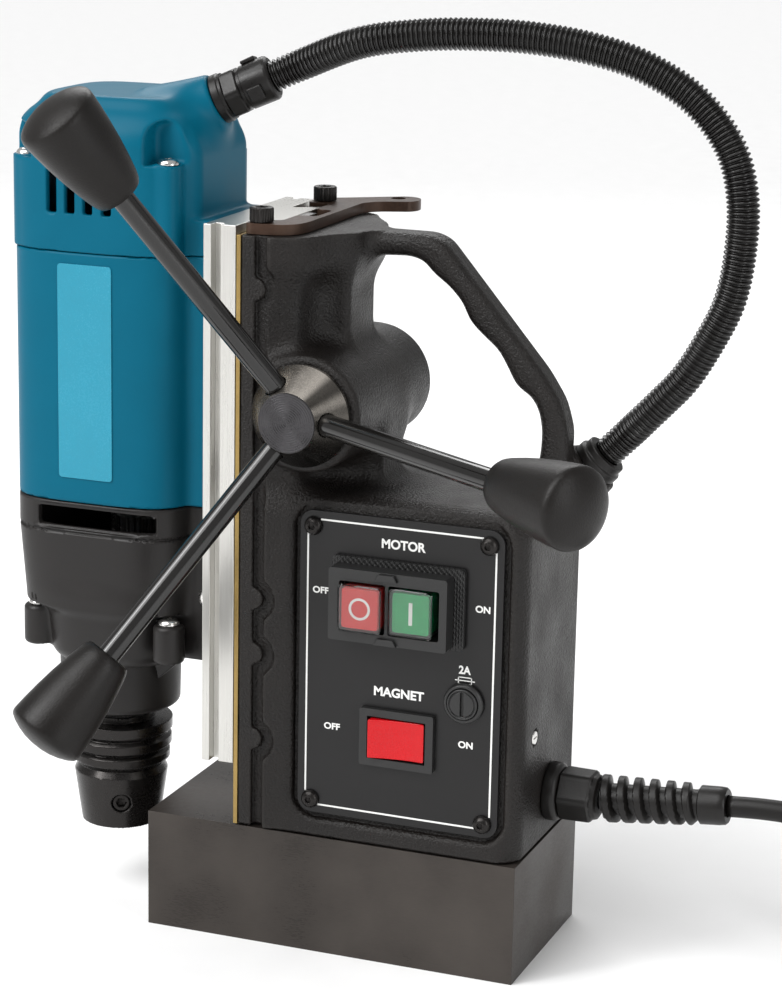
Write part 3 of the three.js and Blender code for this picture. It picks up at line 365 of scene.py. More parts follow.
def hex_ring(at, direction, distance, flats, chamfer=0.0):
    """A ring for a nut of a given half width over flats, with its corners turned off a little."""
    radius = hexagon(flats / math.cos(TURN / 12) - chamfer)
    return round_ring(at, direction, distance, np.minimum(radius, flats * 1.11 - chamfer))


def lathe(name, profile, at, direction, material, body, sides=64, closed=False, round_by=0.0, **more):
    """A solid of revolution. profile is [radius, distance along direction]; a closed profile is hollow."""
    if round_by:
        profile = soften(profile, round_by, 3, closed)
    rings = [round_ring(at, direction, z, max(r, THIN), sides) for r, z in profile]
    return loft(name, rings, material, body, wrap=closed, **more)


def rounded_rectangle(x0, x1, y0, y1, radius):
    made = []
    for cx, cy, start in ((x1 - radius, y1 - radius, 0), (x0 + radius, y1 - radius, 90),
                          (x0 + radius, y0 + radius, 180), (x1 - radius, y0 + radius, 270)):
        for a in np.radians(start + np.linspace(0, 90, 7)):
            made.append((cx + radius * math.cos(a), cy + radius * math.sin(a)))
    return made


def circle2(cx, cy, radius, sides=32):
    return [(cx + radius * math.cos(a), cy + radius * math.sin(a)) for a in np.arange(sides) / sides * TURN]


def prism(name, loops, low, high, material, body, axis="z", edge=0.3, **more):
    """An outline with holes, drawn through from low to high along z, or along y for an (x, z) outline."""
    lift = (lambda p, h: (p[0], p[1], h)) if axis == "z" else (lambda p, h: (p[0], h, p[1]))
    flat = [p for loop in loops for p in loop]
    count = len(flat)
    triangles = tessellate_polygon([[Vector((p[0], p[1], 0)) for p in loop] for loop in loops])
    faces = [tuple(t) for t in triangles] + [tuple(i + count for i in t)[::-1] for t in triangles]
    start = 0
    for loop in loops:
        n = len(loop)
        side = [(start + i, start + (i + 1) % n) for i in range(n)]
        faces += [(a, b, b + count, a + count) for a, b in side]
        start += n
    piece = add(name, [lift(p, low) for p in flat] + [lift(p, high) for p in flat], faces, material, body, **more)
    return bevel(piece, edge) if edge else piece


def tube(name, path, radii, material, body, sides=16, **more):
    """A round tube along a path, with one radius for each point."""
    path = np.asarray(path, float)
    tangent = np.gradient(path, axis=0)
    tangent /= np.linalg.norm(tangent, axis=1)[:, None]
    u = basis(tangent[0])[0]
    rings = []
    for p, t, r in zip(path, tangent, np.broadcast_to(radii, len(path))):
        u = unit(u - t * (u @ t))
        rings.append(p + r * circle3(u, np.cross(t, u), sides))
    return loft(name, rings, material, body, **more)


def curve_points(points, spacing):
    """A smooth curve through the points, sampled evenly."""
    p = np.asarray(points, float)
    p = np.vstack([2 * p[0] - p[1], p, 2 * p[-1] - p[-2]])
    made = []
    for i in range(1, len(p) - 2):
        t0 = 0.0
        t1 = t0 + np.linalg.norm(p[i] - p[i - 1]) ** 0.5
        t2 = t1 + np.linalg.norm(p[i + 1] - p[i]) ** 0.5
        t3 = t2 + np.linalg.norm(p[i + 2] - p[i + 1]) ** 0.5
        for t in np.linspace(t1, t2, 24, endpoint=False):
            a1 = (t1 - t) / (t1 - t0) * p[i - 1] + (t - t0) / (t1 - t0) * p[i]
            a2 = (t2 - t) / (t2 - t1) * p[i] + (t - t1) / (t2 - t1) * p[i + 1]
            a3 = (t3 - t) / (t3 - t2) * p[i + 1] + (t - t2) / (t3 - t2) * p[i + 2]
            b1 = (t2 - t) / (t2 - t0) * a1 + (t - t0) / (t2 - t0) * a2
            b2 = (t3 - t) / (t3 - t1) * a2 + (t - t1) / (t3 - t1) * a3
            made.append((t2 - t) / (t2 - t1) * b1 + (t - t1) / (t2 - t1) * b2)
    made.append(p[-2])
    return even(np.array(made), spacing)


def even(path, spacing):
    lengths = np.concatenate([[0], np.cumsum(np.linalg.norm(np.diff(path, axis=0), axis=1))])
    stops = np.linspace(0, lengths[-1], max(2, round(lengths[-1] / spacing)) + 1)
    return np.array([np.interp(stops, lengths, path[:, k]) for k in range(3)]).T


# ---------------------------------------------------------------- shapes as distance fields
def slab(t, low, high):
    return np.maximum(low - t, t - high)


def meet(a, b, radius):
    """What two shapes share, with the edge between them rounded."""
    a, b = a + radius, b + radius
    return np.minimum(np.maximum(a, b), 0) + np.hypot(np.maximum(a, 0), np.maximum(b, 0)) - radius


def weld(a, b, fillet):
    """Two shapes joined with a fillet."""
    h = np.clip(0.5 + 0.5 * (b - a) / fillet, 0, 1)
    return b + (a - b) * h - fillet * h * (1 - h)


def carve(a, b, lip):
    """The first shape with the second cut away."""
    return -weld(-a, b, lip)


def box2(u, v, u0, u1, v0, v1, radius):
    qu = np.abs(u - (u0 + u1) / 2) - (u1 - u0) / 2 + radius
    qv = np.abs(v - (v0 + v1) / 2) - (v1 - v0) / 2 + radius
    return np.minimum(np.maximum(qu, qv), 0) + np.hypot(np.maximum(qu, 0), np.maximum(qv, 0)) - radius


def outline(u, v, points):
    """Distance to a closed outline, negative inside."""
    best, inside = np.inf, False
    for (u0, v0), (u1, v1) in zip(points, points[1:] + points[:1]):
        eu, ev = u1 - u0, v1 - v0
        t = np.clip(((u - u0) * eu + (v - v0) * ev) / (eu * eu + ev * ev + 1e-12), 0, 1)
        best = np.minimum(best, (u - u0 - t * eu) ** 2 + (v - v0 - t * ev) ** 2)
        if ev:
            inside = inside ^ (((v0 <= v) != (v1 <= v)) & (u < (v - v0) * eu / ev + u0))
    return np.where(inside, -1, 1) * np.sqrt(best)


def soft_square(x, y, centre, half_x, half_y, power=4):
    g = (np.abs((x - centre) / half_x) ** power + np.abs(y / half_y) ** power + 1e-12) ** (1 / power)
    return (g - 1) * np.minimum(half_x, half_y)


def rod(x, y, z, at, direction, low, high, radius, tip=None, edge=0.5):
    """A rod or cone from low to high along a direction, with its radius at each end."""
    d = unit(direction)
    along = (x - at[0]) * d[0] + (y - at[1]) * d[1] + (z - at[2]) * d[2]
    off = (x - at[0]) ** 2 + (y - at[1]) ** 2 + (z - at[2]) ** 2 - along ** 2
    share = np.clip((along - low) / (high - low), 0, 1)
    wide = radius + ((radius if tip is None else tip) - radius) * share
    return meet(np.sqrt(np.maximum(off, 0)) - wide, slab(along, low, high), edge)


def skin(name, field, low, high, step, material, body, **more):
    """The surface of a distance field inside a box, as quads whose points lie on the surface."""
    axes = [np.arange(a - 2 * step, b + 3 * step, step) for a, b in zip(low, high)]
    x, y, z = axes[0][:, None, None], axes[1][None, :, None], axes[2][None, None, :]
    f = np.broadcast_to(field(x, y, z), [len(a) for a in axes]).astype(np.float32)
    inside = f < 0
    shape = tuple(n - 1 for n in f.shape)

    def corner(grid, offset):
        return grid[tuple(slice(o, o + n) for o, n in zip(offset, shape))]

    offsets = list(itertools.product((0, 1), repeat=3))
    count = sum(corner(inside, o).astype(np.int8) for o in offsets)
    cells = np.argwhere((count > 0) & (count < 8))
    total, crossings = np.zeros((len(cells), 3)), np.zeros(len(cells))
    for a in offsets:
        for axis in range(3):
            if a[axis]:
                continue
            b = tuple(v + (k == axis) for k, v in enumerate(a))
            fa, fb = (f[tuple((cells + o).T)] for o in (a, b))
            crossed = (fa < 0) != (fb < 0)
            t = np.where(crossed, fa / np.where(crossed, fa - fb, 1), 0)
            point = np.array(a) + t[:, None] * np.eye(3)[axis]
            total += np.where(crossed[:, None], point, 0)
            crossings += crossed
    points = (cells + total / crossings[:, None]) * step + [a[0] for a in axes]
    number = np.full(shape, -1, np.int64)
    number[tuple(cells.T)] = np.arange(len(cells))
    faces = []
    for axis in range(3):
        u, v = (axis + 1) % 3, (axis + 2) % 3
        low_side = [slice(1, -1)] * 3
        low_side[axis] = slice(0, -1)
        high_side = list(low_side)
        high_side[axis] = slice(1, None)
        a, b = inside[tuple(low_side)], inside[tuple(high_side)]
        at = np.argwhere(a != b)
        if not len(at):
            continue
        out = a[tuple(at.T)]
        base = at + [0 if k == axis else 1 for k in range(3)]

        def cell(du, dv):
            shifted = base.copy()
            shifted[:, u] -= du
            shifted[:, v] -= dv
            return number[tuple(shifted.T)]

        quad = np.stack([cell(1, 1), cell(0, 1), cell(0, 0), cell(1, 0)], 1)
        quad[~out] = quad[~out][:, ::-1]
        faces.append(quad)
    faces = np.concatenate(faces)

    def slope(p):
        e = 0.05
        d = [(field(*(p + e * axis).T) - field(*(p - e * axis).T)) / (2 * e) for axis in np.eye(3)]
        return np.stack(d, 1)

    for _ in range(3):
        g = slope(points)
        value = field(*points.T)
        move = value[:, None] * g / np.maximum((g ** 2).sum(1), 0.2)[:, None]
        points = points - np.clip(move, -0.5 * step, 0.5 * step)
    piece = add(name, points, faces.tolist(), material, body, smooth=None, tidy=False, **more)
    g = slope(points)
    normals = g / np.maximum(np.linalg.norm(g, axis=1), 1e-6)[:, None]
    piece.data.normals_split_custom_set_from_vertices(normals.tolist())
    return piece


def along(place, distance):
    return np.array(place[0], float) + unit(place[1]) * distance


OUTWARD, FORWARD, UP = (1, 0, 0), (0, -1, 0), (0, 0, 1)


# ---------------------------------------------------------------- hose and mains lead
HOSE_BASE = ((91.5, 20, 209.5), (0.69, 0.05, 0.72))
HOSE_MOTOR = ((-72, 2, 355.8), (0.89, 0.19, 0.41))
BASE_FITTING_END, MOTOR_FITTING_END = 10, 26
HOSE_RADIUS, HOSE_PITCH = 6.8, 2.15
HOSE_POINTS = [
    along(HOSE_MOTOR, MOTOR_FITTING_END + 0.3), along(HOSE_MOTOR, MOTOR_FITTING_END + 12),
    (-9.5, 6, 382.6), (16, 7, 386.8), (41.3, 8, 388.3), (66.4, 9, 387.7), (91.1, 10, 384.3),
    (111.7, 11, 378.1), (132.1, 12, 366), (146.8, 13, 348.1), (152.4, 14, 328.6), (152.3, 15, 306.5),
    (148.7, 16, 286), (141, 17, 268.9), (131, 18, 252), (121, 19.2, 240.6), (113, 19.8, 232),
    along(HOSE_BASE, BASE_FITTING_END + 12), along(HOSE_BASE, BASE_FITTING_END + 0.3),
]
CORD_RADIUS = 4.5
GLAND = (1.4, 72.1)  # y and z of the lead's entry
LEAD_START = np.array((162.5, GLAND[0], 76.6))
COIL_CENTRE = np.array((266, 60.4))
PLUG = ((304.3, 66.3, 45.8), (-0.94, -0.35, 0))
PLUG_LENGTH = 62


def make_hose():
    path = curve_points(HOSE_POINTS, HOSE_PITCH / 6)
    phase = 0.5 + 0.5 * np.cos(np.arange(len(path)) / 6 * TURN)
    radii = HOSE_RADIUS - 1.5 * (1 - phase ** 0.6)
    hose = tube("corrugated_hose", path, radii, "hose", None, sides=24, smooth=None)
    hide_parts("hose")
    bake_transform(hose)
    return hose


def ease(t):
    return t * t * (3 - 2 * t)


def arc3(centre, radius, angle, height):
    return np.stack([centre[0] + radius * np.cos(angle), centre[1] + radius * np.sin(angle), height], 1)


def lead_route():
    """Straight out of the strain relief, down to the bench in an S, round the coil and back over it to the plug."""
    bend, flat = 38.0, np.array((186, GLAND[0], 77.6))
    theta = math.acos(1 - (flat[2] - CORD_RADIUS) / (2 * bend))
    route = [LEAD_START, (174, GLAND[0], 77.4), flat]
    for a in theta * np.arange(1, 9) / 8:
        route.append((flat[0] + bend * math.sin(a), GLAND[0], flat[2] - bend * (1 - math.cos(a))))
    landing = flat[0] + 2 * bend * math.sin(theta)
    for a in theta * np.arange(7, -1, -1) / 8:
        route.append((landing - bend * math.sin(a), GLAND[0], CORD_RADIUS + bend * (1 - math.cos(a))))
    lead = curve_points(route, 4)
    # Each turn steps to the next place in the coil (radius, height) over 40 degrees, from the angle in steps.
    places = [(59, 4.5), (50, 4.5), (41, 4.5), (41, 13.5), (50, 13.5), (59, 13.5), (59, 22.5), (50, 22.5),
              (41, 22.5), (41, 31.8)]
    steps = [310, 310, 260, 210, 210, 160, 110, 110, 60]
    angle = np.arange(0, 8 * 360 + 153.6, 5.0)
    at = np.zeros((len(angle), 2)) + places[0]
    for turn, (begin, a, b) in enumerate(zip(steps, places, places[1:])):
        t = np.clip((angle - 360 * turn - begin) / 40, 0, 1)
        at += ease(t)[:, None] * (np.array(b) - a)
    around = np.radians(angle - 90)
    coil = arc3(COIL_CENTRE, at[:, 0], around, at[:, 1])
    back = np.radians(np.arange(63.6, 289, 6))
    rise = np.clip((np.arange(len(back)) - 4) / (len(back) - 6), 0, 1)
    height = places[-1][1] + (PLUG[0][2] - places[-1][1]) * ease(rise)
    loop = arc3((232.7, 80.4), 38, back, height)
    route = [*lead[:-1], *coil, *loop, along(PLUG, PLUG_LENGTH + 3), along(PLUG, PLUG_LENGTH + 0.3)]
    return even(np.array(route), 3.0)


def make_plug():
    profile = [(0, 0), (18.5, 0), (18.5, 7), (17.6, 8), (17.6, 24), (18.2, 26), (16, 34), (10.5, 39.5), (9.4, 41)]
    for i in range(5):
        profile += [(9.2 - 0.4 * i, 42 + 4 * i), (8.6 - 0.4 * i, 43 + 4 * i), (8.6 - 0.4 * i, 44.5 + 4 * i)]
    profile += [(6.4, 62), (0, 62)]
    plug = lathe("plug_body", profile, *PLUG, "rubber", "frame", sides=72, round_by=0.8)
    side = basis(PLUG[1])[1]
    for i, offset in enumerate((-9.5, 9.5)):
        pin = lathe(f"plug_pin_{i + 1}", [(0, -19), (1.6, -19), (2.4, -17.6), (2.4, -0.1), (0, -0.1)],
                    np.array(PLUG[0]) + side * offset, PLUG[1], "bright", "frame", sides=24, round_by=0.4)
        pin.parent = plug
    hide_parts("mains_plug")
    return plug


def make_lead():
    path = lead_route()
    lead = tube("mains_lead", path, CORD_RADIUS, "rubber", "frame", sides=18, smooth=None)
    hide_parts("mains_cord", "mains_coil", "mains_tail")
    tie_angle = math.radians(-20)
    out = np.array((math.cos(tie_angle), math.sin(tie_angle)))
    across = np.array((-out[1], out[0]))
    rings = []
    for r, z in rounded_rectangle(36.3, 63.7, 0.2, 27.4, 4.5):
        grow = unit((r - 50, z - 13.8))
        for_ring = []
        for swell, shift in ((0, -6), (0, 6), (0.9, 6), (0.9, -6)):
            plane = COIL_CENTRE + out * (r + swell * grow[0]) + across * shift
            for_ring.append((*plane, max(0.05, z + swell * grow[1])))
        rings.append(for_ring)
    tie = loft("coil_tie", rings, "fitting", "frame", wrap=True)
    make_plug()


make_hose()
make_lead()


# ---------------------------------------------------------------- column casting
FRAME_BOX = corners("column_casting")
PANEL_LOW, PANEL_HIGH = corners("control_plate")
COLUMN_HALF = 42
LIP_X, LIP_BUMPS = -35.6, (285, 153.7, 129.6, 91.9)  # the lip down the column's front edge
SIDE_PLUG = (84, -20.5, 102.3)
FLANGE = [tuple(p) for p in soften([(-60, -42), (-35.5, -42), (-32, -40.6), (-19, -35.5), (-19, 35.5), (-35, 42),
                                    (-60, 42)], 3.2)]
HEAD = [tuple(p) for p in soften([(-60, -42), (-41, -41.6), (-18.5, -35), (-4, -10), (-0.2, -2.2), (-0.9, 14.9),
                                  (-13.6, 37), (-41, 41.6), (-60, 42)], 3)]
HANDLE = [tuple(p) for p in soften([
    (-4, 306.6), (26, 306.6), (32.5, 304), (77, 252.5), (84.5, 241), (88, 229), (87.5, 217), (85, 190),
    (70, 190), (76.2, 219), (76.6, 229.5), (75, 237), (71.8, 242.5), (65, 246.5), (61, 254), (56.8, 261),
    (50.2, 266.2), (43.8, 272), (40.6, 279.5), (34.3, 286), (28, 290.2), (23, 295.5), (17, 297), (-4, 296)], 4)]
CHANNEL = [(-60, -17.6), (-41.5, -17.6), (-32.4, -23.4), (-32.4, -8), (-23.4, -8), (-23.4, 8), (-32.4, 8),
           (-32.4, 23.4), (-41.5, 17.6), (-60, 17.6)]


def column_field(x, y, z):
    boxy = meet(box2(x, y, -90, 84, -COLUMN_HALF, COLUMN_HALF, 11), slab(z, 20, 201), 12)
    flange = outline(x, y, FLANGE)
    stem = weld(flange, box2(x, y, -60, -4.5, -15, 15, 3), 16)
    head = meet(outline(x, y, HEAD), slab(z, 293, 340), 5)
    root = meet(box2(x, y, -40, 9, -13, 16, 5), slab(z, 150, 228), 8)
    from_feed = np.hypot(x - FEED_X, z - FEED_Z)
    boss = meet(from_feed - 24.5, slab(y, -44.5, COLUMN_HALF), 3)
    handle = meet(outline(x, z, HANDLE), np.abs(y - 3) - 8.5, 5)
    body = weld(weld(stem, head, 14), boss, 9)
    body = weld(weld(body, root, 12), boxy, 9)
    body = weld(body, handle, 5.5)
    body = weld(body, rod(x, y, z, *HOSE_BASE, -22, 2, 14, 12, 1), 7)
    edge = x - LIP_X
    for level in LIP_BUMPS:
        edge = weld(edge, np.hypot(x - LIP_X, z - level) - 4.6, 1.5)
    body = carve(body, meet(edge - 5.5, y + 39.3, 2.5), 1)
    body = weld(body, meet(edge, slab(y, -COLUMN_HALF, -30), 0.7), 0.4)
    around_panel = box2(x, z, PANEL_LOW[0] - 2.4, PANEL_HIGH[0] + 2.4, PANEL_LOW[2] - 2.4, PANEL_HIGH[2] + 2.4, 10)
    recess = meet(around_panel, slab(y, -70, -38.2), 0.5)
    body = carve(body, recess, 3)
    window = meet(box2(x, z, -8, 68.5, 74, 183.5, 3), slab(y, -50, -20), 0.5)
    cavity = meet(box2(x, z, -12, 76, 62, 193, 4), slab(y, -34, 35), 3)
    body = carve(carve(body, window, 0.5), cavity, 0.5)
    for tool in (
            outline(x, y, CHANNEL),
            rod(x, y, z, FEED_CENTRE, (0, 1, 0), -9.5, 9.5, 17.2),
            from_feed - 11.3,
            rod(x, y, z, (70, *GLAND), (1, 0, 0), 0, 20, 8.3),
            rod(x, y, z, *HOSE_BASE, -40, 6, 6),
            rod(x, y, z, SIDE_PLUG, (-1, 0, 0), -3, 5, 3.3),
            np.maximum(np.hypot(x + 36, np.abs(y) - 34) - 3.4, 291 - z)):
        body = carve(body, tool, 0.4)
    limits = np.maximum(np.maximum(-41.5 - x, 52.8 - z), z - 307)
    return carve(body, -limits, 0.5)


def make_column():
    column = skin("column", column_field, FRAME_BOX[0] - 1, FRAME_BOX[1] + 1, 1.35, "cast", "frame")
    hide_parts("column_casting")
    plug = screw("side_plug", along((SIDE_PLUG, OUTWARD), 0.2), OUTWARD, [(3, -4), (3, -0.3), (2.6, 0)],
                 "bright", "frame", "slot", 2.6, 0.8)


# ---------------------------------------------------------------- screws
def recess_ring(kind, size):
    angles = np.arange(RING_SIDES) / RING_SIDES * TURN
    if kind == "hex":
        return hexagon(size)
    if kind == "slot":
        return np.minimum(size, size * 0.14 / np.maximum(np.abs(np.sin(angles)), 1e-3))
    return size * (0.3 + 0.7 * np.abs(np.cos(2 * angles)) ** 6)


def screw(name, at, direction, profile, material, body, recess="hex", size=2.5, deep=2.5, knurl=0.0):
    """A screw from its hidden end to its head. profile is [radius, height], and the recess is in the last face."""
    top = profile[-1][1]
    head_r = max(r for r, _ in profile)
    rings = []
    for r, h in soften([(THIN, profile[0][1]), *profile, (size + 0.05, top)], 0.35, 2, closed=False):
        wide = np.full(RING_SIDES, max(r, THIN))
        if knurl and r > head_r - 0.25:
            wide -= knurl * (np.arange(RING_SIDES) % 3 == 0)
        rings.append((h, wide))
    inner = recess_ring(recess, size)
    rings += [(top - 0.12, inner), (top - deep, inner * 0.96), (top - deep - size * 0.25, THIN)]
    return loft(name, [round_ring(at, direction, h, wide) for h, wide in rings], material, body, smooth=30)


DOME = [(4, 0), (4, 0.5), (3.5, 1.7), (2.6, 2.5), (1.9, 2.8)]


# ---------------------------------------------------------------- top plate
def make_top_plate():
    low, high = corners("top_plate")
    shape = soften([
        (-41.3, -40), (-26, -38), (-20.5, -33), (-19, -25), (-19, 36), (-14, 42.5), (-2, 48), (0, 52), (-0.5, 58),
        (-4, 62), (-9, 62.5), (-20, 55), (-32, 46), (-41.3, 41), (-41.3, 26.5), (-30.5, 26.5), (-30.5, 9.5),
        (-22, 9.5), (-22, -9.5), (-30.5, -9.5), (-30.5, -26.5), (-41.3, -26.5)], 3.5, 4)
    screws = [(-36, side * 34) for side in (-1, 1)]
    holes = [circle2(-10.5, 55.5, 3.2)[::-1], *[circle2(*at, 3.4)[::-1] for at in screws]]
    plate = prism("hanger_plate", [shape, *holes], low[2], high[2], "plate", "frame", edge=0.35)
    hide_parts("top_plate")
    for i, (x, y) in enumerate(screws):
        made = screw(f"cap_screw_{i + 1}", (x, y, high[2] + 0.3), UP,
                     [(3, -18), (3, 0), (5, 0), (5, 5.6), (4.5, 6)], "screw", "frame", "hex", 2.9, 3, knurl=0.22)
        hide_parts(f"top_plate_screw_{i + 1}")


# ---------------------------------------------------------------- control panel
SWITCH_BEZEL = (2.8, 54.6, 143.8, 174.6)  # x from and to, z from and to
SWITCH_BODY = (5.3, 52.8, 145.5, 172)
BEHIND_PANEL = -32.7
CATCH_HEIGHTS = (145.4, 172.6)
ROCKER_TILT, ROCKER_PIVOT = math.radians(7), -42  # the pivot's y
FUSE = (59.4, 120.3)  # x and z


def make_print(front):
    """The white frame, words and fuse symbol on the panel, as one thin piece."""
    bm = bmesh.new()
    thick = 0.05

    def bar(x0, x1, z0, z1):
        box = bmesh.ops.create_cube(bm, size=1)["verts"]
        for vert in box:
            vert.co = Vector(((x0 + x1) / 2 + vert.co.x * (x1 - x0), front - thick / 2 + vert.co.y * thick,
                              (z0 + z1) / 2 + vert.co.z * (z1 - z0)))

    left, right, bottom, top, line, gap = -11.3, 72.0, 66.0, 191.5, 0.75, 6
    bar(left, left + line, bottom + gap, top - gap)
    bar(right - line, right, bottom + gap, top - gap)
    bar(left + gap, right - gap, bottom, bottom + line)
    bar(left + gap, right - gap, top - line, top)
    fuse_symbol = [(55.1, 63.8, 129.6, 130.0), (56.4, 62.5, 131.0, 131.4), (56.4, 62.5, 128.2, 128.6),
                   (56.4, 56.8, 128.2, 131.4), (62.1, 62.5, 128.2, 131.4)]
    for sides in fuse_symbol:
        bar(*sides)
    # Each word with its middle, its base line, and its width and height.
    words = [("MOTOR", 31.4, 182.0, 19.3, 4.1), ("OFF", -5.0, 159.4, 7.2, 2.9), ("ON", 66.4, 159.6, 6.4, 3.0),
             ("2A", 59.3, 132.6, 5.2, 3.6), ("MAGNET", 30.6, 118.3, 22.2, 4.1), ("OFF", 0.9, 100.6, 7.2, 2.9),
             ("ON", 60.4, 100.6, 6.4, 3.0)]
    for text, middle, base, width, height in words:
        curve = bpy.data.curves.new("word", "FONT")
        curve.body, curve.extrude, curve.offset = text, 0.01, 0.032
        holder = put_in_scene("word", curve)
        mesh = evaluated_mesh(holder)
        bpy.data.objects.remove(holder)
        co = np.array([v.co for v in mesh.vertices])
        low, high = co.min(0), co.max(0)
        for vert, p in zip(mesh.vertices, co):
            share = (p - low) / (high - low)
            vert.co = (middle + (share[0] - 0.5) * width, front - thick * (1 - share[2]), base + share[1] * height)
        bm.from_mesh(mesh)
    bmesh.ops.recalc_face_normals(bm, faces=bm.faces)
    mesh = bpy.data.meshes.new("panel_print")
    bm.to_mesh(mesh)
    mesh.transform(Matrix.Scale(MM, 4))
    mesh.materials.append(MAT["print"])
    piece = put_in_scene("panel_print", mesh)
    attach(piece, "frame")


def middle_of(low, high):
    """The x and z of a box's middle."""
    return (low[0] + high[0]) / 2, (low[2] + high[2]) / 2


def block(x, z, half_x, half_z, radius):
    return rounded_rectangle(x - half_x, x + half_x, z - half_z, z + half_z, radius)


def make_button(node, material, symbol):
    """A coloured cap with its mark and stem, under a clear cover."""
    low, high = corners(node)
    x, z = middle_of(low, high)
    front, back = low[1] - 0.8, high[1]
    half_w, half_h = (high[0] - low[0]) / 2, (high[2] - low[2]) / 2
    face, cap_back = front + 1.3, back - 4
    cap = prism(f"{node}_cap", [block(x, z, 7.9, 8.4, 1.2)], face, cap_back, material, node, axis="y", edge=0.5)
    stem = prism(f"{node}_stem", [block(x, z, 4, 4, 0.6)], cap_back, back, "switch", node, axis="y")
    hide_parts(node)
    if symbol == "ring":
        loops = [circle2(x, z, 4.7, 40), circle2(x, z, 3.6, 40)[::-1]]
    else:
        loops = [block(x, z, 0.8, 4.8, 0.2)]
    mark = prism(f"{node}_mark", loops, face - 0.06, face + 0.2, "print", node, axis="y", edge=0)
    rings = []
    for inset, y, r in ((0.8, front + 0.8, 1), (0.8, back - 5, 1), (0, back - 5, 1.8), (0, front + 0.5, 1.8),
                        (0.5, front, 1.5)):
        rings.append([(a, y, b) for a, b in block(x, z, half_w - inset, half_h - inset, r)])
    cover = loft(f"{node}_cover", rings, "clear", node, smooth=30)


def make_motor_switch(front):
    """The start-stop switch: a gasket on the panel, a bezel and the body behind it, and its buttons."""
    low, high = corners("motor_switch")
    gasket_front, catch = front - 2.6, [(-5, -1.4), (5, -1.4), (3.4, 1.4), (-3.4, 1.4)]
    wells = []
    for node, right_room in (("off_button", 0.6), ("on_button", 2.6)):
        a, b = corners(node)
        wells.append(rounded_rectangle(a[0] - 0.6, b[0] + right_room, a[2] - 0.6, b[2] + 0.6, 1))
    holes = [well[::-1] for well in wells]
    gasket = prism("switch_gasket", [rounded_rectangle(low[0], high[0], low[2], high[2], 2), *holes],
                   gasket_front, front - 0.2, "gasket", "frame", axis="y")
    bezel = prism("switch_bezel", [rounded_rectangle(*SWITCH_BEZEL, 1.2), *holes], low[1], gasket_front, "switch",
                  "frame", axis="y", edge=0.5)
    body = prism("switch_body", [rounded_rectangle(*SWITCH_BODY, 1)], BEHIND_PANEL, high[1], "switch", "frame",
                 axis="y")
    middle = (corners("off_button")[1][0] + corners("on_button")[0][0]) / 2
    for i, z in enumerate(CATCH_HEIGHTS):
        notch = prism(f"switch_catch_{i + 1}", [[(middle + u, z + v) for u, v in catch]], low[1] - 1.6, low[1],
                      "switch", "frame", axis="y")
    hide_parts("motor_switch")
    make_button("off_button", "red", "ring")
    make_button("on_button", "green", "bar")


def make_magnet_switch(front):
    """The magnet's rocker switch, with its paddle tilted as it is in the photograph."""
    low, high = corners("magnet_switch")
    frame_out = rounded_rectangle(low[0], high[0], low[2], high[2], 0.8)
    frame_in = rounded_rectangle(low[0] + 3.4, high[0] - 3.4, low[2] + 3.2, high[2] - 3.2, 0.4)
    well_out = rounded_rectangle(low[0] + 2, high[0] - 2, low[2] + 2, high[2] - 2, 0.8)
    rim = prism("rocker_frame", [frame_out, frame_in[::-1]], front - 2.7, front - 0.2, "switch", "frame", axis="y",
                edge=0.9)
    well = prism("rocker_well", [well_out, frame_in[::-1]], front, high[1], "switch", "frame", axis="y", edge=0)
    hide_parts("magnet_switch")
    x = (low[0] + high[0]) / 2
    half = (high[0] - low[0]) / 2 - 4.2
    arc = [(u, -2.4 + 1.1 * (1 - (u / half) ** 2)) for u in np.linspace(-half, half, 13)]
    shape = [*arc, (half - 1.5, 5), (0, 6.8), (-half + 1.5, 5)]
    c, s = math.cos(ROCKER_TILT), math.sin(ROCKER_TILT)
    turned = [(x + u * c - v * s, ROCKER_PIVOT + u * s + v * c) for u, v in shape]
    zs = corners("magnet_rocker")
    paddle = prism("rocker_paddle", [turned], zs[0][2], zs[1][2], "rocker", "magnet_rocker", edge=0.5, smooth=30)
    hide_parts("magnet_rocker")


def make_fuse(front):
    """The fuse holder's flange and barrel, and its slotted cap."""
    x, z = FUSE
    ring = lathe("fuse_flange", [(6.9, 0.3), (8.7, 0.3), (8.7, 1.6), (7.9, 2.6), (6.9, 2.6)], (x, front, z), FORWARD,
                 "switch", "frame", closed=True, round_by=0.3)
    barrel = lathe("fuse_barrel", [(5, -24), (6.2, -24), (6.2, -0.3), (5, -0.3)], (x, front, z), FORWARD, "switch",
                   "frame", sides=32, closed=True)
    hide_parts("fuse_holder")

    def cap_field(px, py, pz):
        radius = np.hypot(px - x, pz - z)
        shank = meet(radius - 4.2, slab(py, -42, -32), 0.3)
        head = weld(meet(radius - 6.6, slab(py, -43.8, -41.5), 0.5), shank, 0.3)
        head = carve(head, np.maximum(np.abs(radius - 5.5) - 0.25, py + 43.4), 0.2)
        coin_slot = meet(box2(px, pz, x - 0.8, x + 0.8, z - 5.2, z + 5.2, 0.3), slab(py, -50, -42.4), 0.1)
        return carve(head, coin_slot, 0.2)

    cap = skin("fuse_cap_moulding", cap_field, (x - 7, -44, z - 7), (x + 7, -31.5, z + 7), 0.4, "switch", "fuse_cap")
    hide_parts("fuse_cap")


def make_panel():
    front = PANEL_LOW[1]
    make_print(front)
    make_motor_switch(front)
    make_magnet_switch(front)
    make_fuse(front)
    for i in range(4):
        x, z = middle_of(*corners(f"panel_screw_{i + 1}"))
        made = screw(f"button_screw_{i + 1}", (x, front - 0.2, z), FORWARD, [(2, -2), (2, 0), *DOME], "screw", "frame",
                     "hex", 1.5, 1.4)
        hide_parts(f"panel_screw_{i + 1}")


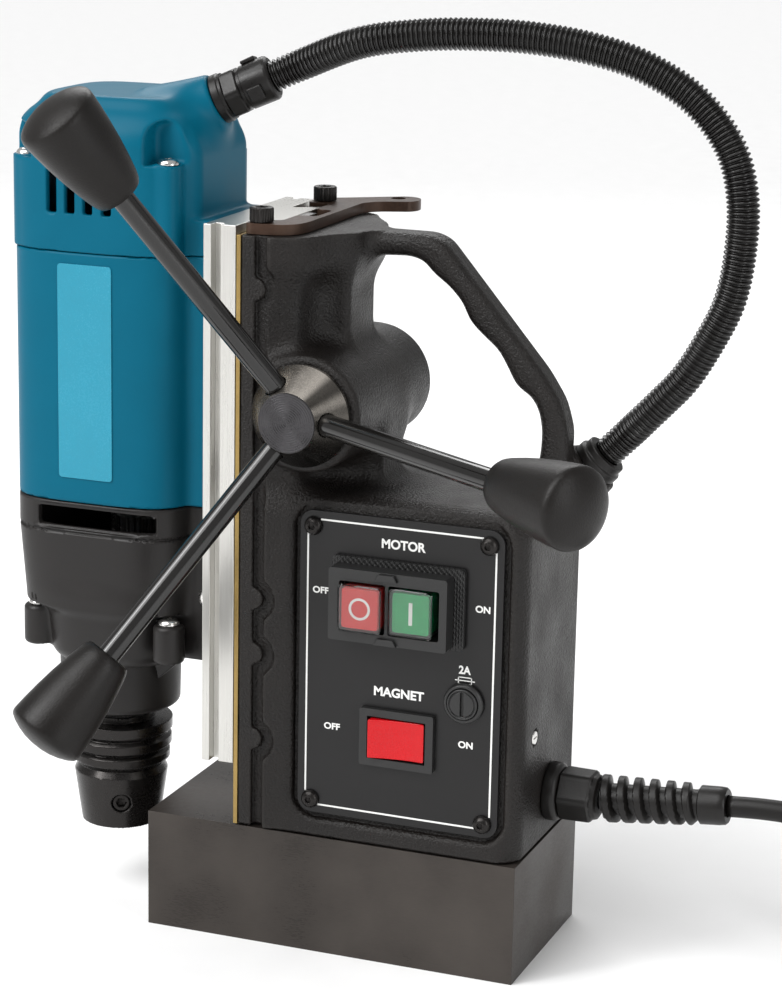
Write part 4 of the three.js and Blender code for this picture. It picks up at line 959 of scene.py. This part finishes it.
# ---------------------------------------------------------------- mains entry and hose fittings
def nut_rings(at, direction, before, flats, after):
    """Rings for a nut: round ones, hexagons (distance, half width, chamfer), and round ones again."""
    return [*[round_ring(at, direction, *ring) for ring in before], *[hex_ring(at, direction, *ring) for ring in flats],
            *[round_ring(at, direction, *ring) for ring in after]]


def make_gland():
    """The locknut, the gland's hexagon, and the spiral relief that holds the lead."""
    at = (0, *GLAND)
    nut = lathe("gland_washer", [(8.4, 84.2), (12.6, 84.2), (12.6, 88.6), (11.4, 90.2), (8.4, 90.2)], at, OUTWARD,
                "fitting", "frame", closed=True, round_by=0.8)
    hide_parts("gland_locknut")
    rings = nut_rings(at, OUTWARD, ((74, 5), (74, 8), (90.5, 8)),
                      ((90.5, 10.4, 0.5), (91, 10.4), (103.4, 10.2), (104.4, 10.1, 0.5)),
                      ((104.6, 9.9), (106.3, 9.4), (107, 8.2), (107, 5)))
    gland = loft("gland_nut", rings, "fitting", "frame", wrap=True, smooth=25)
    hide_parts("cord_gland")
    start = np.array((108.2, *GLAND))
    direction = LEAD_START - start
    length = np.linalg.norm(direction) - 0.3
    turns, coils_end = 6.0, 42.0
    sides = 48
    angles = np.arange(sides) / sides * TURN
    hole = 4.8
    rings = [round_ring(start, direction, 0, hole, sides)]
    for s in np.arange(0, coils_end, 0.35):
        base = 6.6 - 0.4 * s / coils_end
        phase = (s / coils_end * turns * TURN - angles) % TURN
        ridge = np.clip(1.45 * np.cos(phase) + 0.55, 0, 1) ** 0.6
        fade = min(1, (coils_end - s) / 3)
        rings.append(round_ring(start, direction, s, base + (3.6 - 1.0 * s / coils_end) * ridge * fade, sides))
    collar = ((coils_end + 0.4, 7.4), (coils_end + 1, 8.2), (length - 3.2, 8.1), (length - 0.8, 7.8), (length, 7.1),
              (length, hole))
    rings += [round_ring(start, direction, s, r, sides) for s, r in collar]
    relief = loft("spiral_relief", rings, "fitting", "frame", wrap=True, smooth=40)
    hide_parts("strain_relief")


def make_hose_fittings():
    ring = lathe("base_lock_ring", [(6.3, 2.3), (10.6, 2.3), (10.6, 6.2), (9.4, 6.8), (9.4, 10), (6.3, 10)], *HOSE_BASE,
                 "fitting", "frame", closed=True, round_by=0.6)
    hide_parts("hose_base_fitting")
    at, direction = HOSE_MOTOR
    rings = nut_rings(at, direction, ((0.1, 6.2), (0.1, 10.3), (0.5, 10.6), (3.3, 10.6), (3.8, 10.1), (4.9, 10.1)),
                      ((5, 9.5, 0.4), (5.5, 9.5), (11.3, 9.5), (11.8, 9.5, 0.5)),
                      ((12, 8.9), (13.2, 8.9), (13.6, 9.5), (24.4, 9.7), (25.3, 9.3), (26, 8.4), (26, 7), (19, 7),
                       (19, 6.2)))
    body = loft("hose_connector", rings, "fitting", "carriage", wrap=True, smooth=25)
    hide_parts("hose_motor_fitting")
    u, v = basis(direction)
    for i, a in enumerate(np.radians([200, 320, 80])):
        out = math.cos(a) * u + math.sin(a) * v
        side = np.cross(unit(direction), out)
        rings = [[along(HOSE_MOTOR, s) + out * lift + side * w for s, lift in
                  ((15, 9.3), (15, 10.9), (21.5, 11.1), (21.5, 9.3))] for w in (-3.2, 3.2)]
        clip = bevel(loft(f"connector_clip_{i + 1}", rings, "fitting", "carriage"), 0.5)


# ---------------------------------------------------------------- motor and gear case
MOTOR_X, MOTOR_HALF_X, MOTOR_HALF_Y = -112.4, 41.7, 42
RAIL_FRONT = -58.3
SEAM, LEDGE = 294.0, 332.0
SPINDLE_X = -117.5


def motor_wall(x, y, inset=0.0):
    return soft_square(x, y, MOTOR_X, MOTOR_HALF_X - inset, MOTOR_HALF_Y - inset)


def rail_pad(x, y, z, low, high):
    return meet(box2(x, y, -84, RAIL_FRONT, -27, 27, 5), slab(z, low, high), 1)


def housing_field(x, y, z):
    wall = weld(motor_wall(x, y), box2(x, y, -90, RAIL_FRONT, -27, 27, 4), 2.5)
    shell = meet(wall, slab(z, 186.3, SEAM - 0.35), 0.5)
    return carve(shell, np.maximum(motor_wall(x, y, 3), slab(z, 180, 300)), 0.5)


def cap_field(x, y, z):
    wall = motor_wall(x, y)
    body = meet(wall, slab(z, 250, 355.5), 17)
    deck = meet(soft_square(x, y, -112, 32, 31), slab(z, 330, 358), 4)
    body = weld(body, deck, 4)
    body = weld(body, rail_pad(x, y, z, 250, 309), 2)
    body = weld(body, meet(box2(x, y, -100, -68, -28, 28, 7), slab(z, 250, 347), 13), 3)
    body = weld(body, rod(x, y, z, *HOSE_MOTOR, -26, -0.3, 14.5, 11.6, 1.2), 10)
    pockets = meet(outline(x, z, POCKET_NEAR_RAIL), slab(np.abs(y), 28, 80), 2.5)
    pockets = np.minimum(pockets, meet(outline(x, z, POCKET_FAR), slab(np.abs(y), 24, 80), 2.5))
    body = carve(body, pockets, 1.5)
    for cx, cy in CAP_SCREWS:
        body = weld(body, np.maximum(np.hypot(x - cx, np.abs(y) - cy) - 5.6, z - LEDGE), 2)
    body = meet(body, SEAM - z, 0.4)
    slots = np.inf
    for i in range(4):
        slots = np.minimum(slots, box2(x, z, -130.5 + 8.4 * i, -126.1 + 8.4 * i, 310, 330, 0.8))
    body = carve(body, np.maximum(slots, 30 - np.abs(y)), 0.4)
    room = np.maximum(motor_wall(x, y, 3.2), slab(z, 280, 328.5))
    roof = np.maximum(soft_square(x, y, -112.4, 27, 25, 3), slab(z, 325, 350))
    body = carve(body, np.minimum(room, roof), 0.5)
    post = np.hypot(x - MOTOR_X, y)
    holder = np.maximum(np.abs(post - 15.2) - 1.8, slab(z, 322, 352))
    return carve(weld(body, holder, 0.5), rod(x, y, z, *HOSE_MOTOR, -40, 4, 5.5), 0.4)


def arch(x0, x1, low, high):
    top = soften([(x1, low), (x1, high), (x0, high), (x0, low)], 7, 5, closed=False)
    return [(x0, low), (x1, low), *[tuple(p) for p in top[1:-1]]]


POCKET_NEAR_RAIL = arch(-86.5, -65, LEDGE, 350)
POCKET_FAR = arch(-165, -139, LEDGE, 346)
CAP_SCREWS = ((-78.5, 33), (-145.5, 30))


def gearcase_field(x, y, z):
    taper = 2.4 * np.clip((172.5 - z) / 35, 0, 2)
    wall = soft_square(x, y, MOTOR_X, MOTOR_HALF_X - taper, MOTOR_HALF_Y - taper)
    body = meet(wall, slab(z, 137.4, 186), 1)
    shrink = 0.11 * (137 - z)
    bowl = meet(soft_square(x, y, -112.5, 31.5 - shrink, 39.6 - shrink, 3), slab(z, 110, 150), 8)
    body = weld(body, bowl, 5)
    nose = meet(np.hypot(x - SPINDLE_X, y) - 26.5 - 0.02 * (z - 86), slab(z, 86, 115), 2.6)
    body = weld(body, nose, 2)
    mount = meet(box2(x, y, -92, RAIL_FRONT, -24, 24, 4), slab(z, 117, 186), 1.2)
    body = weld(body, mount, 4)
    for cx, cy, top in EARS:
        ear = meet(np.hypot(x - cx, np.abs(y) - cy) - 6.8, slab(z, 117.5, top), 2)
        body = weld(body, ear, 2.5)
    gusset = meet(outline(x, z, [(-96, 118), (-79, 118), (-79, 114.5), (-92, 103)]), np.abs(y + 14) - 1.6, 0.6)
    body = weld(body, gusset, 0.8)
    body = carve(body, np.maximum(np.abs(z - 172.5) - 0.4, -wall - 0.7), 0.5)
    frame_cut = meet(box2(x, z, -139, -80, 173.9, 184.6, 1.5), slab(np.abs(y), 40.2, 80), 0.5)
    vent = meet(box2(x, z, -136.5, -82, 175, 183, 1), slab(np.abs(y), 30, 80), 0.4)
    body = carve(carve(body, frame_cut, 0.8), vent, 0.4)
    room = np.maximum(soft_square(x, y, MOTOR_X, MOTOR_HALF_X - 3.4, MOTOR_HALF_Y - 3.4), slab(z, 139, 200))
    bore = np.maximum(np.hypot(x - SPINDLE_X, y) - 17.3, slab(z, 70, 124))
    throat = np.maximum(np.hypot(x - SPINDLE_X, y) - 10, slab(z, 120, 142))
    return carve(body, np.minimum(np.minimum(room, bore), throat), 0.4)


EARS = ((-143, 28, 135.2), (-78.5, 32.5, 134.4))
PAN_HEAD = [(2, -4), (2, 0), (4.7, 0), (4.7, 0.7), (4.2, 1.6), (3.2, 2.3), (2.2, 2.6)]


def make_motor():
    for name, field, node, finish in (("motor_shell", housing_field, "motor_housing", "teal"),
                                      ("motor_end_cap", cap_field, "motor_cap", "teal"),
                                      ("gearcase", gearcase_field, "gear_housing", "gearcase")):
        low, high = corners(node)
        made = skin(name, field, low - 1, high + 1, 1.15 if node != "motor_housing" else 1.5, finish, "carriage")
        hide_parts(node)
    for i, (x, y) in enumerate((cx, side * cy) for cx, cy in CAP_SCREWS for side in (-1, 1)):
        made = screw(f"cap_pan_screw_{i + 1}", (x, y, LEDGE + 0.2), UP, PAN_HEAD, "bright", "carriage", "cross", 2,
                     1.2)
    for i, (x, y, top) in enumerate((cx, side * cy, top) for cx, cy, top in EARS for side in (-1, 1)):
        made = screw(f"gearcase_screw_{i + 1}", (x, y, top + 0.1), UP, PAN_HEAD[2:], "bright", "carriage", "cross",
                     2, 1.2)
    for i, side in enumerate((-1, 1)):
        made = screw(f"mount_screw_{i + 1}", (-63.5, side * 24.2, 146), (0, side, 0), PAN_HEAD, "bright", "carriage",
                     "cross", 1.8, 1.2)
    plate = prism("name_plate", [rounded_rectangle(-125.5, -100.5, 197, 289, 1.5)], -42.45, -41.4, "label",
                  "carriage", axis="y", edge=0.25)


# ---------------------------------------------------------------- tool holder
def holder_field(x, y, z):
    r = np.hypot(x - SPINDLE_X, y)
    body = outline(r, z, HOLDER) - 0.25
    body = carve(body, np.maximum(r - 9.6, slab(z, 0, 72)), 0.5)
    for turn in SET_SCREWS:
        body = carve(body, rod(x, y, z, SCREW_AXES_MEET, (math.cos(turn), math.sin(turn), 0), 5, 30, 4.3), 0.5)
    return body


HOLDER_HALF = [(14.7, 81.2), (14.7, 78.3), (22.8, 78.3), (22.8, 74), (20.4, 72), (22.4, 70.2), (22.4, 66.8), (19.6, 65),
               (21.6, 63.2), (21.6, 60.2), (18.8, 57.5), (20.6, 54.2), (17.3, 30.8)]
HOLDER = HOLDER_HALF + [(-r, z) for r, z in HOLDER_HALF[::-1]]
SET_SCREWS = (math.radians(-64), math.radians(116))
SCREW_AXES_MEET = (SPINDLE_X, 0, 43)


def make_tool_holder():
    low, high = corners("tool_holder")
    holder = skin("arbor_holder", holder_field, low, high, 0.75, "tool", "spindle")
    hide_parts("tool_holder")
    for i, turn in enumerate(SET_SCREWS):
        made = screw(f"arbor_screw_{i + 1}", SCREW_AXES_MEET, (math.cos(turn), math.sin(turn), 0),
                     [(4, 10), (4, 17.6), (3.6, 18)], "screw", "spindle", "hex", 2.4, 3)
        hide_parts(f"set_screw_{i + 1}")


# ---------------------------------------------------------------- feed handle
HUB_FRONT = -44.9
SPOKE_ROOT = (FEED_X, -47.2, FEED_Z)
SPOKE_LEAN, FIRST_ANGLE = math.radians(29.4), -1.7
SPOKE_RADIUS, SPOKE_START, SPOKE_END = 4.7, 17, 132
SPOKE_PROFILE = [(0, SPOKE_START), (4.2, SPOKE_START), (SPOKE_RADIUS, SPOKE_START + 0.6),
                 (SPOKE_RADIUS, SPOKE_END - 0.6), (4.2, SPOKE_END), (0, SPOKE_END)]
KNOB_PROFILE = [(0, 133), (5.05, 133), (5.05, 124.4), (5.5, 124), (8.4, 124), (9.6, 124.5), (10.4, 125.8),
                (11.2, 128.4), (12.6, 134.5), (14.1, 142.5), (15.3, 151), (16.1, 158.5), (16.4, 162.6), (16.45, 164),
                (16.2, 165.2), (15.5, 166.2), (13.3, 167.6), (10, 169), (6.5, 170), (3, 170.5), (0, 170.6)]


def spoke_directions():
    for i in range(3):
        a = math.radians(FIRST_ANGLE + 120 * i)
        yield (math.cos(a) * math.cos(SPOKE_LEAN), -math.sin(SPOKE_LEAN), math.sin(a) * math.cos(SPOKE_LEAN))


def cut(piece, tools):
    """Cuts other meshes out of a piece, and takes them away."""
    for tool in tools:
        modifier = piece.modifiers.new("cut", "BOOLEAN")
        modifier.operation, modifier.solver, modifier.object = "DIFFERENCE", "EXACT", tool
    piece.data = evaluated_mesh(piece)
    piece.modifiers.clear()
    piece.data.shade_smooth()
    piece.data.set_sharp_from_angle(angle=math.radians(25))
    for tool in tools:
        bpy.data.objects.remove(tool)


def make_feed_handle():
    front = (FEED_X, HUB_FRONT, FEED_Z)
    hub = lathe("hub_cone", [(0, 9.4), (8.4, 9.4), (8.4, 0), (20.8, 0), (21.4, 0.5), (21.4, 2.3), (12.6, 16.4),
                             (0, 16.4)], front, FORWARD, "hub", "feed_handle", sides=96)
    wide, bottom = SPOKE_RADIUS + 0.45, SPOKE_START - 3
    cut(hub, [lathe("socket", [(0, bottom), (wide, bottom), (wide, 40), (0, 40)], SPOKE_ROOT, direction, "hub", None)
              for direction in spoke_directions()])
    face = lathe("hub_face", [(0, 16.4), (12.5, 16.4), (12.3, 16.9), (0, 16.9)], front, FORWARD, "hub_face",
                 "feed_handle", sides=96, smooth=25)
    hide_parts("feed_hub")
    for i, direction in enumerate(spoke_directions()):
        spoke = lathe(f"spoke_{i + 1}", SPOKE_PROFILE, SPOKE_ROOT, direction, "spoke", "feed_handle", sides=48)
        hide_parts(f"feed_spoke_{i + 1}")
        grip = lathe(f"knob_{i + 1}", KNOB_PROFILE, SPOKE_ROOT, direction, "knob", "feed_handle", sides=72, smooth=28)
        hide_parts(f"feed_knob_{i + 1}")


# ---------------------------------------------------------------- parts kept from the CAD
KEPT = {
    "magnet_block": ("magnet", 0.5), "magnet_coil": ("copper", 0), "magnet_potting": ("potting", 0),
    "gib_strip_near": ("brass", 0.2), "gib_strip_far": ("brass", 0.2), "control_plate": ("panel", 0.35),
    "control_board": ("board", 0.2), "feed_bush_near": ("brass", 0), "feed_bush_far": ("brass", 0),
    "slide_rail": ("rail", 0.3), "feed_rack": ("steel", 0), "field_stator": ("laminations", 0),
    "upper_bearing": ("steel", 0), "spindle_bearing": ("steel", 0), "carbon_brush_near": ("carbon", 0.3),
    "carbon_brush_far": ("carbon", 0.3), "armature": ("laminations", 0), "cooling_fan": ("gearcase", 0),
    "layshaft": ("steel", 0), "spindle": ("steel", 0), "feed_shaft": ("steel", 0),
}


def dress_kept_parts():
    for node, (finish, edge) in KEPT.items():
        piece = NODES[node]
        piece.data.materials.clear()
        piece.data.materials.append(MAT[finish])
        if edge:
            bevel(piece, edge)


# ---------------------------------------------------------------- stage and light
def area_light(name, location, target, size, energy):
    light = bpy.data.lights.new(name, "AREA")
    light.shape = "RECTANGLE"
    light.size, light.size_y = size
    light.energy = energy
    lamp = put_in_scene(name, light)
    lamp.location = location
    lamp.rotation_euler = aim(Vector(target) - Vector(location))


def make_stage():
    """A white floor and sky, a broad soft sun, and three long lamps for the highlights. In metres."""
    half = 40
    mesh = bpy.data.meshes.new("floor")
    mesh.from_pydata([(-half, -half, 0), (half, -half, 0), (half, half, 0), (-half, half, 0)], [], [(0, 1, 2, 3)])
    mesh.materials.append(surface("floor_paint", (0.9, 0.9, 0.9), 0.6, spread=0.01, grain=40, bump=0.02, specular=0.2))
    put_in_scene("floor", mesh)
    world = bpy.data.worlds.new("studio")
    world.use_nodes = True
    feed(world.node_tree, world.node_tree.nodes["Background"], {"Color": (1, 1, 1, 1), "Strength": 0.45})
    bpy.context.scene.world = world
    sun = bpy.data.lights.new("sky_panel", "SUN")
    sun.energy, sun.angle = 2.55, math.radians(50)
    put_in_scene("sky_panel", sun).rotation_euler = aim((0.34, 0.47, -0.81))
    area_light("key", (-1.0, -1.2, 1.1), (0, 0, 0.22), (0.35, 1.1), 11)
    area_light("side", (1.4, -0.7, 0.7), (0, 0, 0.2), (0.4, 1.1), 7)
    area_light("rim", (-0.5, 1.3, 1.3), (0, 0, 0.25), (1.2, 0.5), 10)
    bpy.context.scene.view_settings.view_transform = "Standard"


make_column()
make_top_plate()
make_panel()
make_gland()
make_hose_fittings()
make_motor()
make_tool_holder()
make_feed_handle()
dress_kept_parts()
make_stage()
